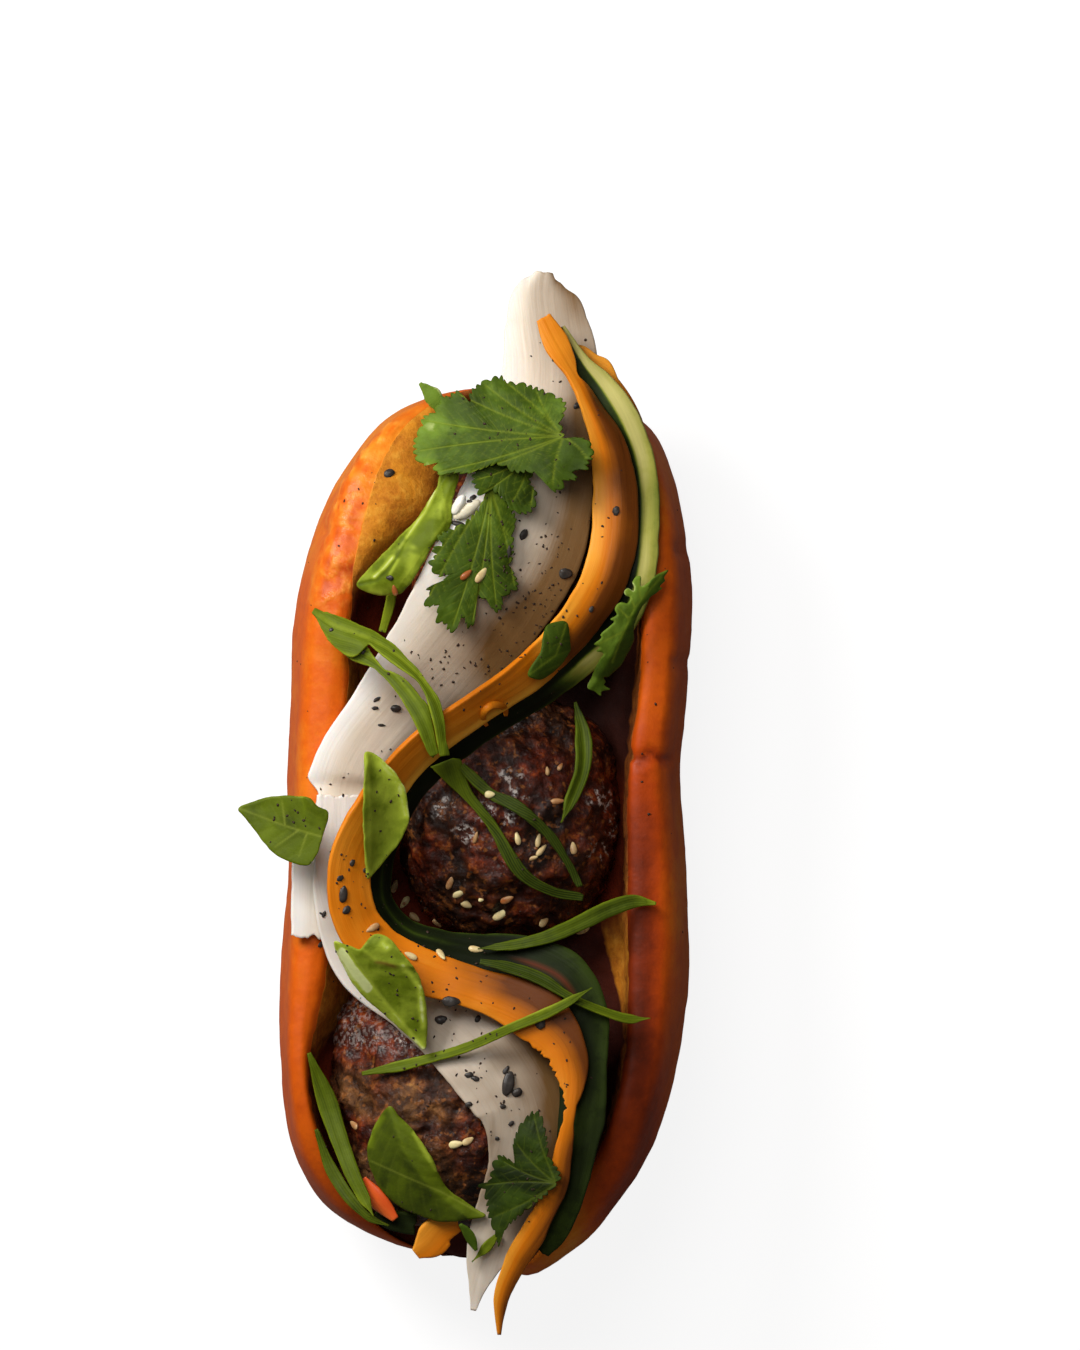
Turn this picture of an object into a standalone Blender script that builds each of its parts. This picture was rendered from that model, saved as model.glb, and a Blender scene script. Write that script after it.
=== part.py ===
"""A filled sandwich roll at its real size.

A soft split roll lies on its flat base with the cut side up. Three glazed meatballs are in the cut, long
peeled ribbons of daikon, cucumber and carrot are wound over them, and scallion and herb leaves lie on top.

The origin is the middle of the roll's flat base. +X is across the roll, +Y is along it, +Z is up. All sizes
are in millimetres, and MM turns them into metres when a mesh is made. The pieces are laid one after another,
from the lowest to the topmost: each one settles on the upper surface of what is already there, a small gap
above it.
"""

import math
import random

import bmesh
import bpy
import numpy as np
from mathutils import Matrix, Vector, noise

MM = 0.001

# ---------------------------------------------------------------- driving sizes, in millimetres

GAP = 0.3                # clear space between two pieces that lie on each other
ROLL_HEIGHT = 43.0       # from the base to the crest of the lips
SLOT_FLOOR = 12.0        # thickness of the roll under the filling
LOWER_DOME, UPPER_DOME = 8.0, 8.9   # how far the roll's rounded ends reach past its last sections
DOME_TURNS = (22, 42, 58, 72)       # angles, in degrees, of the rings that round an end
DOME_MIDDLE = 0.42       # height of the middle that an end closes on, as a share of the roll's height
SEED_LENGTH, SEED_WIDTH, SEED_THICKNESS = 3.1, 1.9, 1.5
SEED_SINK = 0.15         # height of a seed's middle over the meat
SEED_SPACING = 3.6       # least distance between two seeds
SEED_LOWEST = 0.45       # seeds lie above this share of the ball's half height
DAIKON_THICKNESS = 1.2
CARROT_THICKNESS = 1.2
CUCUMBER_THICKNESS = 1.3
LEAF_THICKNESS = 0.5
SCALLION_THICKNESS = 0.6

# The roll from its lower end to its upper end: y, left side, right side, inner edges of its left and right
# lips.
ROLL_SECTIONS = (
    (-70.0, -31.0, 20.4, -23.0, 11.0),
    (-64.0, -34.4, 25.8, -27.5, 16.5),
    (-55.0, -36.8, 30.8, -31.0, 21.5),
    (-40.0, -37.9, 35.2, -32.5, 25.0),
    (-22.0, -37.6, 37.3, -29.8, 25.8),
    (-5.0, -36.3, 36.6, -28.5, 25.6),
    (10.0, -36.5, 35.3, -27.5, 25.6),
    (25.0, -36.0, 36.7, -26.5, 27.5),
    (45.0, -34.2, 37.8, -24.0, 28.0),
    (58.0, -30.4, 36.0, -22.0, 27.0),
    (66.0, -26.3, 34.1, -20.0, 25.0),
    (72.0, -21.4, 31.6, -16.0, 22.5),
)
END_SLANT = 2.9          # the lower end is aslant: its left side ends this much higher, its right side lower
SLANT_REACH = 45.0       # how far up the roll the slant fades out
END_RISE = 5.5           # how far the underside lifts at the ends
END_DROP = 7.0           # how much lower the lips are at the ends
FLAT_REACH = 48.0        # the base is flat as far as this from the middle
FLOOR_RISE = 9.0         # how much the slot's floor rises at the ends

# Half of the roll's section. SIDE goes up the outside, as shares of the half width and of the height. LIP
# goes over the lip, as shares of its width, from the inner edge, and of the height. WALL goes down the cut, as
# shares of the cut's half width, from the inner edge, and of the wall's height.
SIDE = ((0.58, 0.0), (0.76, 0.025), (0.90, 0.12), (0.98, 0.28), (1.0, 0.46), (0.99, 0.64), (0.955, 0.81))
LIP = ((0.74, 0.95), (0.44, 1.0), (0.14, 0.98), (0.0, 0.92))
WALL = ((0.02, 1.0), (0.10, 0.50), (0.26, 0.20), (0.52, 0.05))
WALL_TOP = 0.76          # where the wall starts, as a share of the height

# Meatballs: centre x and y, then half sizes along x, y and z.
MEATBALLS = {
    "meatball_top": ((1.0, 47.5), (19.3, 20.5, 17.5), 3),
    "meatball_middle": ((3.6, 2.7), (19.6, 22.2, 18.0), 22),
    "meatball_bottom": ((-7.0, -51.5), (20.8, 21.3, 18.0), 10),
}
MEAT_RELIEF = 1.1        # depth of the meat's lumps
MEAT_LUMP = 8.0          # width of a lump

# Ribbons and blades: each point is x, y, half width, roll in degrees (positive: the side to the left of the
# way along it is higher). They run from their upper end to their lower end.
DAIKON_UPPER = (
    (10.7, 101.5, 1.6, 0), (10.3, 98.4, 5.2, 0), (10.8, 92.7, 7.6, 0), (11.6, 86.5, 8.7, 0),
    (11.4, 78.5, 9.3, 0), (9.1, 67.8, 10.7, 0), (5.8, 54.5, 13.0, -5), (-2.4, 39.6, 12.1, -10),
    (-14.7, 24.9, 8.5, -14), (-20.2, 18.7, 6.9, -12), (-24.6, 12.2, 6.6, -10), (-26.6, 4.5, 7.5, -12),
    (-27.2, -6.0, 8.3, -14), (-27.6, -19.6, 8.3, -16),
)
DAIKON_LOWER = (
    (-25.5, 6.5, 5.5, -14), (-25.1, -3.6, 6.6, -18), (-23.6, -12.7, 8.3, -20), (-19.6, -21.5, 9.5, -16),
    (-11.1, -27.8, 9.8, -10), (-3.3, -33.6, 10.8, -5), (3.8, -41.8, 11.0, -9), (8.0, -50.0, 10.0, -16),
    (7.6, -60.0, 7.6, -14), (4.0, -69.1, 6.0, -6), (0.4, -76.4, 4.3, 0), (-1.5, -82.7, 2.0, 0),
    (-2.4, -87.3, 0.5, 0),
)
CUCUMBER = (
    (13.5, 91.3, 0.8, -10), (17.0, 84.6, 2.2, -4), (20.2, 79.8, 3.8, 4), (23.4, 74.5, 4.5, 10),
    (25.7, 69.1, 4.6, 12), (27.0, 62.7, 4.6, 12), (27.0, 54.5, 4.6, 10), (26.2, 46.4, 4.6, 4),
    (22.9, 38.4, 4.6, -10), (15.6, 31.2, 4.5, -28), (7.9, 25.0, 4.4, -42), (0.0, 19.9, 4.4, -46),
    (-6.8, 15.1, 4.4, -46), (-13.7, 8.3, 4.4, -48), (-18.0, 0.5, 4.4, -50), (-20.2, -7.0, 4.3, -50),
    (-19.6, -14.0, 4.3, -50), (-15.4, -18.8, 4.3, -48), (-8.6, -21.4, 4.3, -42), (-1.0, -22.8, 4.5, -30),
    (6.5, -24.2, 5.4, -16), (13.4, -27.5, 6.0, -6), (17.2, -34.0, 5.2, 2), (17.6, -42.0, 4.6, 6),
    (17.4, -52.0, 4.3, 8), (15.8, -60.5, 3.8, 6), (13.2, -68.5, 3.8, 4), (10.4, -74.6, 2.8, 0),
    (8.6, -78.2, 1.0, 0),
)
CARROT = (
    (10.4, 93.1, 1.6, -8), (12.5, 88.7, 2.5, -14), (15.8, 82.7, 1.7, -36), (19.6, 76.0, 2.5, -22),
    (22.0, 70.9, 3.3, -8), (23.2, 65.0, 4.0, 0), (23.5, 55.0, 4.4, 0), (22.2, 47.3, 4.5, -6),
    (18.5, 40.0, 4.4, -18), (12.6, 33.0, 4.6, -36), (6.0, 27.4, 4.7, -48), (-1.6, 22.2, 4.7, -52),
    (-8.6, 17.4, 4.7, -52), (-15.8, 10.6, 4.7, -50), (-21.0, 3.0, 4.7, -42), (-24.2, -3.8, 4.6, -34),
    (-24.9, -10.4, 4.5, -30), (-23.3, -16.8, 4.6, -27), (-18.4, -22.2, 4.6, -22), (-10.2, -26.0, 4.3, -16),
    (-0.6, -29.0, 4.0, -10), (8.9, -33.1, 5.3, -4), (14.9, -38.4, 5.4, -2), (16.7, -44.2, 4.2, -4),
    (16.2, -50.6, 2.3, -8), (14.5, -58.7, 2.4, -8), (13.2, -65.0, 2.6, -8), (9.8, -71.3, 2.6, -4),
    (5.3, -78.5, 2.2, 0), (2.7, -85.5, 1.4, 0), (2.4, -91.6, 0.4, 0),
)
CARROT_CORNER = (
    (15.6, 87.4, 1.2, -10), (20.7, 85.1, 2.4, -8), (24.9, 80.8, 2.8, 0), (28.0, 75.4, 2.6, 0),
    (29.8, 69.0, 1.2, 0),
)

CUCUMBER_SCRAP = ((-20.4, -70.2, 0.8, 0), (-16.6, -71.0, 1.9, 0), (-12.8, -71.4, 2.2, 0))
CARROT_SCRAP = ((-5.0, -71.5, 1.4, 0), (-8.2, -72.6, 3.0, 0), (-10.3, -75.0, 3.0, 0), (-12.8, -77.0, 1.0, 0))
CHILLI_PIECE = ((-22.3, -63.2, 0.9, 0), (-20.2, -66.2, 1.9, 0), (-17.6, -69.2, 1.5, 0),
                (-16.4, -70.6, 0.8, 0))
STEM = ((-16.9, 45.0, 0.8, 0), (-17.3, 42.0, 1.0, 0), (-17.9, 39.5, 0.9, 0), (-18.9, 36.0, 0.8, 0))
ONION_PLACE = (-3.9, 58.6)
ONION_HALF_SIZES = (2.3, 1.8, 1.3)

# Scallion blades: name, route, rows, columns, crown.
BLADES = (
    ("scallion_loop_a", ((-6.5, 12.9, 1.0, 0), (-3.5, 5.5, 1.1, 0), (1.8, -0.5, 1.1, 0),
                         (7.0, -9.0, 1.1, 0), (12.2, -11.6, 1.0, 0), (17.6, -12.6, 0.7, 0)), 18, 1, 0.0),
    ("scallion_loop_b", ((-3.6, 12.6, 0.8, 0), (-1.0, 9.8, 0.9, 0), (4.4, 6.2, 0.9, 0), (10.7, 2.6, 0.8, 0),
                         (13.8, -1.8, 0.8, 0), (16.2, -6.0, 0.8, 0), (17.6, -10.0, 0.6, 0)), 18, 1, 0.0),
    ("scallion_blade", ((16.2, 23.3, 0.3, 0), (17.6, 17.3, 1.3, 0), (17.4, 10.9, 1.3, 0),
                        (15.7, 6.2, 1.1, 0), (13.6, 1.5, 0.3, 0)), 10, 2, -0.3),
    ("scallion_split_b", ((-25.2, 32.6, 0.5, 0), (-21.5, 31.0, 1.6, 0), (-17.6, 28.2, 1.6, 0),
                          (-14.7, 25.1, 1.6, 0), (-12.4, 21.8, 1.5, 0), (-10.8, 18.4, 1.4, 0),
                          (-9.4, 13.6, 1.1, 0)), 12, 2, 0.15),
    ("scallion_split_a", ((-31.5, 39.6, 0.3, 0), (-27.3, 36.9, 1.9, 0), (-22.6, 35.2, 2.0, 0),
                          (-18.0, 33.0, 2.0, 0), (-14.7, 30.6, 1.9, 0), (-11.7, 27.5, 1.7, 0),
                          (-9.4, 24.0, 1.6, 0), (-8.0, 20.0, 1.6, 0), (-7.2, 13.6, 1.3, 0)), 16, 2, 0.15),
    ("scallion_corner_b", ((-30.9, -54.4, 0.4, 0), (-28.2, -61.5, 1.1, 0), (-24.6, -67.0, 1.1, 0),
                           (-21.0, -70.4, 0.8, 0), (-17.6, -71.8, 0.4, 0)), 10, 2, 0.1),
    ("scallion_corner_a", ((-32.2, -40.5, 0.4, 0), (-29.4, -48.0, 1.8, 0), (-26.7, -56.0, 1.7, 0),
                           (-24.2, -62.5, 1.4, 0), (-22.0, -67.0, 1.1, 0),
                           (-20.4, -70.0, 0.5, 0)), 12, 2, 0.2),
    ("scallion_right_blade", ((30.9, -13.3, 0.3, 0), (27.0, -12.9, 1.2, 0), (22.5, -14.2, 1.5, 0),
                              (17.5, -16.6, 1.5, 0), (11.5, -19.2, 1.3, 0), (5.0, -20.8, 1.0, 0),
                              (-1.5, -21.5, 0.4, 0)), 12, 2, 0.1),
    ("scallion_right", ((-1.1, -23.8, 0.5, 0), (4.5, -24.9, 1.2, 0), (10.0, -26.9, 1.3, 0),
                        (14.6, -29.8, 0.9, 0), (21.1, -32.7, 0.9, 0), (26.7, -34.2, 0.8, 0),
                        (29.8, -34.0, 0.4, 0)), 14, 2, 0.1),
    ("scallion_cross", ((-22.5, -44.2, 0.4, 0), (-14.9, -42.6, 1.0, 0), (-9.3, -41.1, 0.9, 0),
                        (-4.9, -39.8, 0.9, 0), (4.4, -35.8, 0.9, 0), (13.5, -31.8, 0.9, 0),
                        (19.3, -28.4, 0.3, 0)), 18, 1, 0.0),
    ("scallion_scrap", ((2.2, -73.2, 0.3, 0), (0.0, -75.8, 0.9, 0), (-2.6, -78.4, 0.3, 0)), 6, 1, 0.0),
)

# Single leaves: name, route from the stalk to the tip, rows, columns, crown.
LEAVES = (
    ("leaf_tip", ((-8.4, 76.4, 0.8, 0), (-9.6, 78.8, 1.6, 0), (-12.1, 81.4, 0.3, 0)), 6, 2, 0.2),
    ("leaf_piece", ((8.4, 26.8, 0.6, 0), (10.2, 30.6, 2.9, 0), (12.6, 34.6, 3.1, 0),
                    (14.6, 38.2, 0.6, 0)), 8, 2, 0.25),
    ("basil_top", ((-7.3, 61.6, 0.6, 0), (-10.0, 56.0, 2.9, 0), (-13.4, 51.4, 4.0, 0),
                   (-17.1, 47.5, 4.1, 0), (-20.6, 45.3, 2.3, 0), (-23.8, 44.3, 0.3, 0)), 10, 4, 0.35),
    ("basil_left", ((-28.7, 0.4, 1.6, 0), (-32.9, -0.3, 5.9, 0), (-36.9, 0.4, 5.6, 0), (-40.9, 1.7, 3.5, 0),
                    (-44.7, 3.6, 0.3, 0)), 10, 4, -0.12),
    ("basil_fold", ((-20.4, 13.6, 0.8, 0), (-18.4, 8.9, 3.5, 0), (-17.8, 4.5, 4.2, 0), (-18.2, 0.0, 4.1, 0),
                    (-18.8, -3.7, 3.1, 0), (-19.9, -7.0, 1.4, 0), (-20.9, -9.2, 0.3, 0)), 10, 4, -0.25),
    ("basil_mid", ((-27.2, -20.4, 0.8, 0), (-23.4, -23.8, 3.4, 0), (-19.2, -26.6, 5.3, 0),
                   (-15.9, -30.0, 5.0, 0), (-13.3, -33.8, 3.2, 0), (-11.6, -37.2, 1.3, 0),
                   (-10.8, -39.7, 0.3, 0)), 10, 4, 0.15),
    ("basil_bottom", ((-17.3, -50.0, 0.8, 0), (-16.4, -55.0, 4.2, 0), (-14.8, -60.0, 5.6, 0),
                      (-12.0, -64.6, 4.8, 0), (-8.0, -68.0, 3.0, 0), (-4.0, -69.8, 1.5, 0),
                      (-0.5, -70.7, 0.3, 0)), 10, 4, 0.25),
    ("thin_leaf", ((-4.6, -71.4, 0.3, 0), (-3.0, -73.6, 1.0, 0), (-1.6, -76.2, 0.3, 0)), 6, 2, 0.1),
    ("cilantro_right", ((20.8, 25.4, 0.5, 0), (20.9, 28.8, 1.8, 0), (22.9, 33.4, 2.5, 0),
                        (25.8, 38.5, 2.8, 0), (28.6, 42.8, 2.0, 0), (31.8, 46.6, 0.4, 0)), 12, 2, 0.2),
)

# Lobed leaves: name, hub, (direction of each lobe in degrees, length).
FANS = (
    ("cilantro_mid", (-2.5, 49.1), ((28, 7.8), (74, 13.2), (127, 7.5), (174, 7.6), (222, 10.9), (260, 12.7),
                                    (301, 9.8), (339, 9.1))),
    ("cilantro_fold", (3.2, 61.6), ((-50, 6.5), (20, 5.6), (75, 6.6), (130, 5.4), (215, 5.0))),
    ("cilantro_bottom", (6.5, -60.9), ((-112, 16.5), (-80, 7.8), (-40, 6.8), (-5, 6.6), (35, 7.2), (76, 10.5),
                                       (120, 6.5), (170, 6.2), (205, 8.6))),
    ("cilantro_top", (3.5, 70.0), ((-106, 6.6), (-43, 12.6), (-3, 15.9), (36, 13.6), (67, 11.8), (93, 12.6),
                                   (133, 12.4), (158, 14.6), (180, 16.2), (207, 12.3))),
)

# ---------------------------------------------------------------- the surface that the next piece lies on

CELL = 0.5               # spacing of the height grid
SAMPLE_STEP = 0.35       # spacing of the points by which a mesh is entered in it
GRID_LOW = np.array((-60.0, -105.0))
GRID_SIZE = (240, 430)
SUPPORT_LEVEL = 40.0     # a leaf's slope takes what lies below as at least this high
RIBBON_SLOPE = 0.3       # steepest slope of a ribbon between and past its supports
LEAF_SLOPE = 0.35        # the same for a leaf
STEEPEST_ROLL = 0.6      # steepest slope across a strip that follows what lies below
STEEPEST_FAN = 0.25      # steepest tilt of a lobed leaf
FAN_WAVE = 0.35          # how far a lobed leaf's rim waves up and down
FAN_WAVES = 3            # how many such waves go round it


def surface_samples(points, triangles):
    """Points spread all over the triangles, no further apart than SAMPLE_STEP."""
    corners = points[triangles]
    edges = np.linalg.norm(corners - np.roll(corners, 1, axis=1), axis=2)
    counts = np.ceil(edges.max(axis=1) / SAMPLE_STEP).astype(int)
    samples = []
    for count in np.unique(counts):
        first, second = np.meshgrid(np.arange(count + 1), np.arange(count + 1))
        inside = first + second <= count
        weights = np.stack((first[inside], second[inside], (count - first - second)[inside]), axis=1) / count
        spread = np.einsum("kb,tbc->tkc", weights, corners[counts == count])
        samples.append(spread.reshape(-1, 3))
    return np.concatenate(samples)


class Terrain:
    """The upper surface of all pieces laid so far, as heights on a square grid."""

    def __init__(self):
        self.height = np.zeros(GRID_SIZE)
        self.reach = self.height.copy()

    def cells(self, x, y):
        column = np.rint((np.asarray(x) - GRID_LOW[0]) / CELL).astype(int).clip(0, GRID_SIZE[0] - 1)
        row = np.rint((np.asarray(y) - GRID_LOW[1]) / CELL).astype(int).clip(0, GRID_SIZE[1] - 1)
        return column, row

    def add(self, points, triangles):
        samples = surface_samples(points, triangles)
        np.maximum.at(self.height, self.cells(samples[:, 0], samples[:, 1]), samples[:, 2])
        self.reach = self.height.copy()
        for column_shift in (-1, 0, 1):
            for row_shift in (-1, 0, 1):
                shifted = np.roll(self.height, (column_shift, row_shift), axis=(0, 1))
                self.reach = np.maximum(self.reach, shifted)

    def at(self, x, y):
        """Height of the highest thing in the cell or just beside it."""
        return self.reach[self.cells(x, y)]

    def lift(self, points, triangles):
        """How far the mesh has to rise, or may sink, to lie GAP above the surface."""
        samples = surface_samples(points, triangles)
        return float((self.at(samples[:, 0], samples[:, 1]) + GAP - samples[:, 2]).max())


# ---------------------------------------------------------------- shapes

def smooth(knots, values, at):
    """A curve through the values at the knots, with the slope of its neighbours at each knot."""
    slopes = np.gradient(values, knots)
    index = np.clip(np.searchsorted(knots, at, side="right") - 1, 0, len(knots) - 2)
    span = knots[index + 1] - knots[index]
    t = (at - knots[index]) / span
    ahead = t * t * (3 - 2 * t)
    return (values[index] * (1 - ahead) + values[index + 1] * ahead
            + span * t * (1 - t) * ((1 - t) * slopes[index] - t * slopes[index + 1]))


def strip_mesh(top, bottom):
    """A closed mesh from two grids of points, rows along the strip and columns across it."""
    rows, columns = top.shape[:2]
    points = np.concatenate((top.reshape(-1, 3), bottom.reshape(-1, 3)))
    under = rows * columns
    triangles = []
    for i in range(rows - 1):
        for j in range(columns - 1):
            a, b = i * columns + j, i * columns + j + 1
            c, d = b + columns, a + columns
            triangles += [(a, d, c), (a, c, b)]
            triangles += [(under + a, under + c, under + d), (under + a, under + b, under + c)]
    rim = [j for j in range(columns)]
    rim += [i * columns + columns - 1 for i in range(1, rows)]
    rim += [(rows - 1) * columns + j for j in range(columns - 2, -1, -1)]
    rim += [i * columns for i in range(rows - 2, 0, -1)]
    for here, ahead in zip(rim, rim[1:] + rim[:1]):
        triangles += [(here, ahead, under + ahead), (here, under + ahead, under + here)]
    return points, np.array(triangles)


def settle(needed, step, steepest):
    """Heights of a stiff strip that clears what it has to and hangs down no steeper than a given slope."""
    places = np.arange(len(needed)) * step
    hang = needed[None, :] - steepest * np.abs(places[:, None] - places[None, :])
    return hang.max(axis=1)


def ease(values, width):
    """The values with their corners rounded off, over width neighbours each way."""
    padded = np.pad(values, width, mode="edge")
    kernel = np.hanning(2 * width + 3)[1:-1]
    return np.convolve(padded, kernel / kernel.sum(), mode="valid")


def ribbon(terrain, route, thickness, steps, across, crown=0.0, follow=False, steepest=RIBBON_SLOPE):
    """A strip along the route, laid on the terrain.

    crown lifts its middle line, as a share of its half width, and a negative crown makes a trough. follow
    adds the slope of what lies below to its roll. steepest is the slope at which it hangs between its supports
    and past them.
    """
    knots = np.array(route, dtype=float)
    along = np.concatenate(((0.0,), np.cumsum(np.hypot(*np.diff(knots[:, :2], axis=0).T))))
    stations = np.linspace(0.0, along[-1], steps + 1)
    x, y, half, roll = (smooth(along, knots[:, column], stations) for column in range(4))
    half = np.maximum(half, min(knots[:, 2].min(), 0.3))
    heading = np.stack((np.gradient(x), np.gradient(y)), axis=1)
    heading /= np.linalg.norm(heading, axis=1)[:, None]
    side = np.stack((-heading[:, 1], heading[:, 0]), axis=1)
    roll = np.radians(roll)
    if follow:
        left = np.maximum(terrain.at(x - side[:, 0] * half, y - side[:, 1] * half), SUPPORT_LEVEL)
        right = np.maximum(terrain.at(x + side[:, 0] * half, y + side[:, 1] * half), SUPPORT_LEVEL)
        slope = np.clip((right - left) / (2 * np.maximum(half, 1.0)), -STEEPEST_ROLL, STEEPEST_ROLL)
        roll = roll + np.arctan(ease(slope, 3))
    v = np.linspace(-1, 1, across + 1)[None, :]
    outward = v * half[:, None]
    bulge = crown * (1 - np.abs(v) ** 1.6) * half[:, None]
    turn = roll[:, None]

    def face(offset):
        height = bulge + offset
        shift = outward * np.cos(turn) - height * np.sin(turn)
        rise = outward * np.sin(turn) + height * np.cos(turn)
        return x[:, None] + side[:, :1] * shift, y[:, None] + side[:, 1:] * shift, rise

    low_x, low_y, low_rise = face(-thickness / 2)
    needed = (terrain.at(low_x, low_y) + GAP - low_rise).max(axis=1)
    height = np.maximum(ease(settle(needed, stations[1], steepest), 2), needed)
    height = ease(height, 1)
    top = np.stack(face(thickness / 2), axis=2)
    bottom = np.stack((low_x, low_y, low_rise), axis=2)
    top[:, :, 2] += height[:, None]
    bottom[:, :, 2] += height[:, None]
    points, triangles = strip_mesh(top, bottom)
    points[:, 2] += max(0.0, terrain.lift(points, triangles))
    return points, triangles


def fan_leaf(terrain, hub, lobes, teeth=3, notch=0.42, droop=0.10):
    """A lobed leaf laid on the terrain: its lobes are (direction in degrees, length), in order."""
    directions = np.radians([lobe[0] for lobe in lobes])
    spans = np.append(directions[1:], directions[0] + 2 * math.pi) - directions
    lengths = np.array([lobe[1] for lobe in lobes])
    phase = np.tile((0.0, 0.25, 0.5, 0.75), len(lobes))
    lobe = np.repeat(np.arange(len(lobes)), 4)
    count = len(phase)
    angle = directions[lobe] + phase * spans[lobe]
    blend = phase * phase * (3 - 2 * phase)
    radius = lengths[lobe] * (1 - blend) + lengths[(lobe + 1) % len(lobes)] * blend
    radius = radius * (1 - notch * np.sin(math.pi * phase) ** 4)
    radius = radius * (1 - 0.09 * np.abs(np.sin(teeth * math.pi * phase)))
    rings = (0.0, 0.5, 1.0)
    x = np.concatenate([[hub[0]]] + [hub[0] + radius * share * np.cos(angle) for share in rings[1:]])
    y = np.concatenate([[hub[1]]] + [hub[1] + radius * share * np.sin(angle) for share in rings[1:]])
    below = np.maximum(terrain.at(x, y), SUPPORT_LEVEL)
    across, along = x - hub[0], y - hub[1]
    plane, *_ = np.linalg.lstsq(np.stack((across, along, np.ones_like(x)), axis=1), below, rcond=None)
    slope = np.clip(plane[:2], -STEEPEST_FAN, STEEPEST_FAN)
    away = np.hypot(across, along)
    height = across * slope[0] + along * slope[1] - droop * away ** 2 / lengths.max()
    height += FAN_WAVE * np.sin(FAN_WAVES * np.arctan2(along, across)) * away / lengths.max()
    top = np.stack((x, y, height + LEAF_THICKNESS), axis=1)
    bottom = np.stack((x, y, height), axis=1)
    under = len(top)
    triangles = []
    for i in range(count):
        a, b = 1 + i, 1 + (i + 1) % count
        c, d = b + count, a + count
        triangles += [(0, a, b), (a, d, c), (a, c, b)]
        triangles += [(under, under + b, under + a), (under + a, under + c, under + d)]
        triangles += [(under + a, under + b, under + c), (d, under + d, under + c), (d, under + c, c)]
    points = np.concatenate((top, bottom))
    triangles = np.array(triangles)
    points[:, 2] += terrain.lift(points, triangles)
    return points, triangles


def roll_section(left, right, inner_left, inner_right, end_share):
    """The roll's outline across at one place: its base, its right side, the cut and its left side."""
    middle = (left + right) / 2
    slot_middle = (inner_left + inner_right) / 2
    base = END_RISE * end_share ** 2
    crest = ROLL_HEIGHT - END_DROP * end_share ** 1.6
    floor = SLOT_FLOOR + FLOOR_RISE * end_share ** 3
    tall = crest - base
    halves = []
    for outer, inner in ((right, inner_right), (left, inner_left)):
        width = outer - middle
        slot = inner - slot_middle
        top = base + WALL_TOP * tall
        half = [(middle + share * width, base + level * tall) for share, level in SIDE]
        half += [(inner + share * (outer - inner), base + level * tall) for share, level in LIP]
        half += [(inner - share * slot, floor + level * (top - floor)) for share, level in WALL]
        halves.append(half)
    right_half, left_half = halves
    return np.array([(middle, base)] + right_half + [(slot_middle, floor)] + left_half[::-1])


def roll_mesh():
    """The split roll: sections along y, joined, with rounded ends."""
    sections = np.array(ROLL_SECTIONS)
    low, high = sections[0, 0], sections[-1, 0]
    places = np.concatenate((np.linspace(low, low + 10, 4), np.linspace(low + 17, high - 17, 13),
                             np.linspace(high - 10, high, 4)))
    rings = []
    for place in places:
        widths = [smooth(sections[:, 0], sections[:, column], np.array([place]))[0] for column in range(1, 5)]
        left, right, inner_left, inner_right = widths
        limit = high if place > 0 else -low
        end_share = max(0.0, abs(place) - FLAT_REACH) / (limit - FLAT_REACH)
        outline = roll_section(left, right, inner_left, inner_right, end_share)
        share = (outline[:, 0] - left) / (right - left) * 2 - 1
        slant = END_SLANT * max(0.0, 1 - (place - low) / SLANT_REACH)
        rings.append(np.stack((outline[:, 0], place - slant * share, outline[:, 1]), axis=1))

    def dome(ring, reach):
        """Rings that close the roll past its last section, each the section at a smaller scale."""
        centre = np.array((ring[:, 0].mean(), ring[:, 1].mean(), DOME_MIDDLE * ROLL_HEIGHT))
        closing = []
        for turn in np.radians(DOME_TURNS):
            outward = np.array((0, reach * math.sin(turn), 0))
            closing.append(centre + (ring - centre) * math.cos(turn) + outward)
        return closing

    rings = dome(rings[0], -LOWER_DOME)[::-1] + rings + dome(rings[-1], UPPER_DOME)
    count = len(rings[0])
    polygons = []
    for i in range(len(rings) - 1):
        for j in range(count):
            a, b = i * count + j, i * count + (j + 1) % count
            polygons += [(a, a + count, b + count), (a, b + count, b)]
    polygons.append(tuple(range(count)))
    polygons.append(tuple(range(len(rings) * count - 1, (len(rings) - 1) * count - 1, -1)))
    return triangulated(np.concatenate(rings), polygons)


def triangulated(points, polygons):
    """The points and triangles of a closed mesh given by polygons."""
    shape = bmesh.new()
    corners = [shape.verts.new(point) for point in points]
    for polygon in polygons:
        shape.faces.new([corners[index] for index in polygon])
    bmesh.ops.triangulate(shape, faces=shape.faces)
    return from_bmesh(shape)


def from_bmesh(shape):
    """The points and triangles of a bmesh, which is then freed."""
    shape.verts.index_update()
    points = np.array([corner.co[:] for corner in shape.verts])
    triangles = np.array([[corner.index for corner in face.verts] for face in shape.faces])
    shape.free()
    return points, triangles


def lumpy(points, relief, lump, seed):
    """The points moved along their directions from the origin by smooth bumps."""
    moved = []
    for point in points:
        place = Vector(point)
        wave = noise.noise(place / lump + Vector((seed, 0, 0))) + 0.5 * noise.noise(place * 2 / lump)
        moved.append(place + place.normalized() * wave * relief)
    return np.array(moved)


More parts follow.
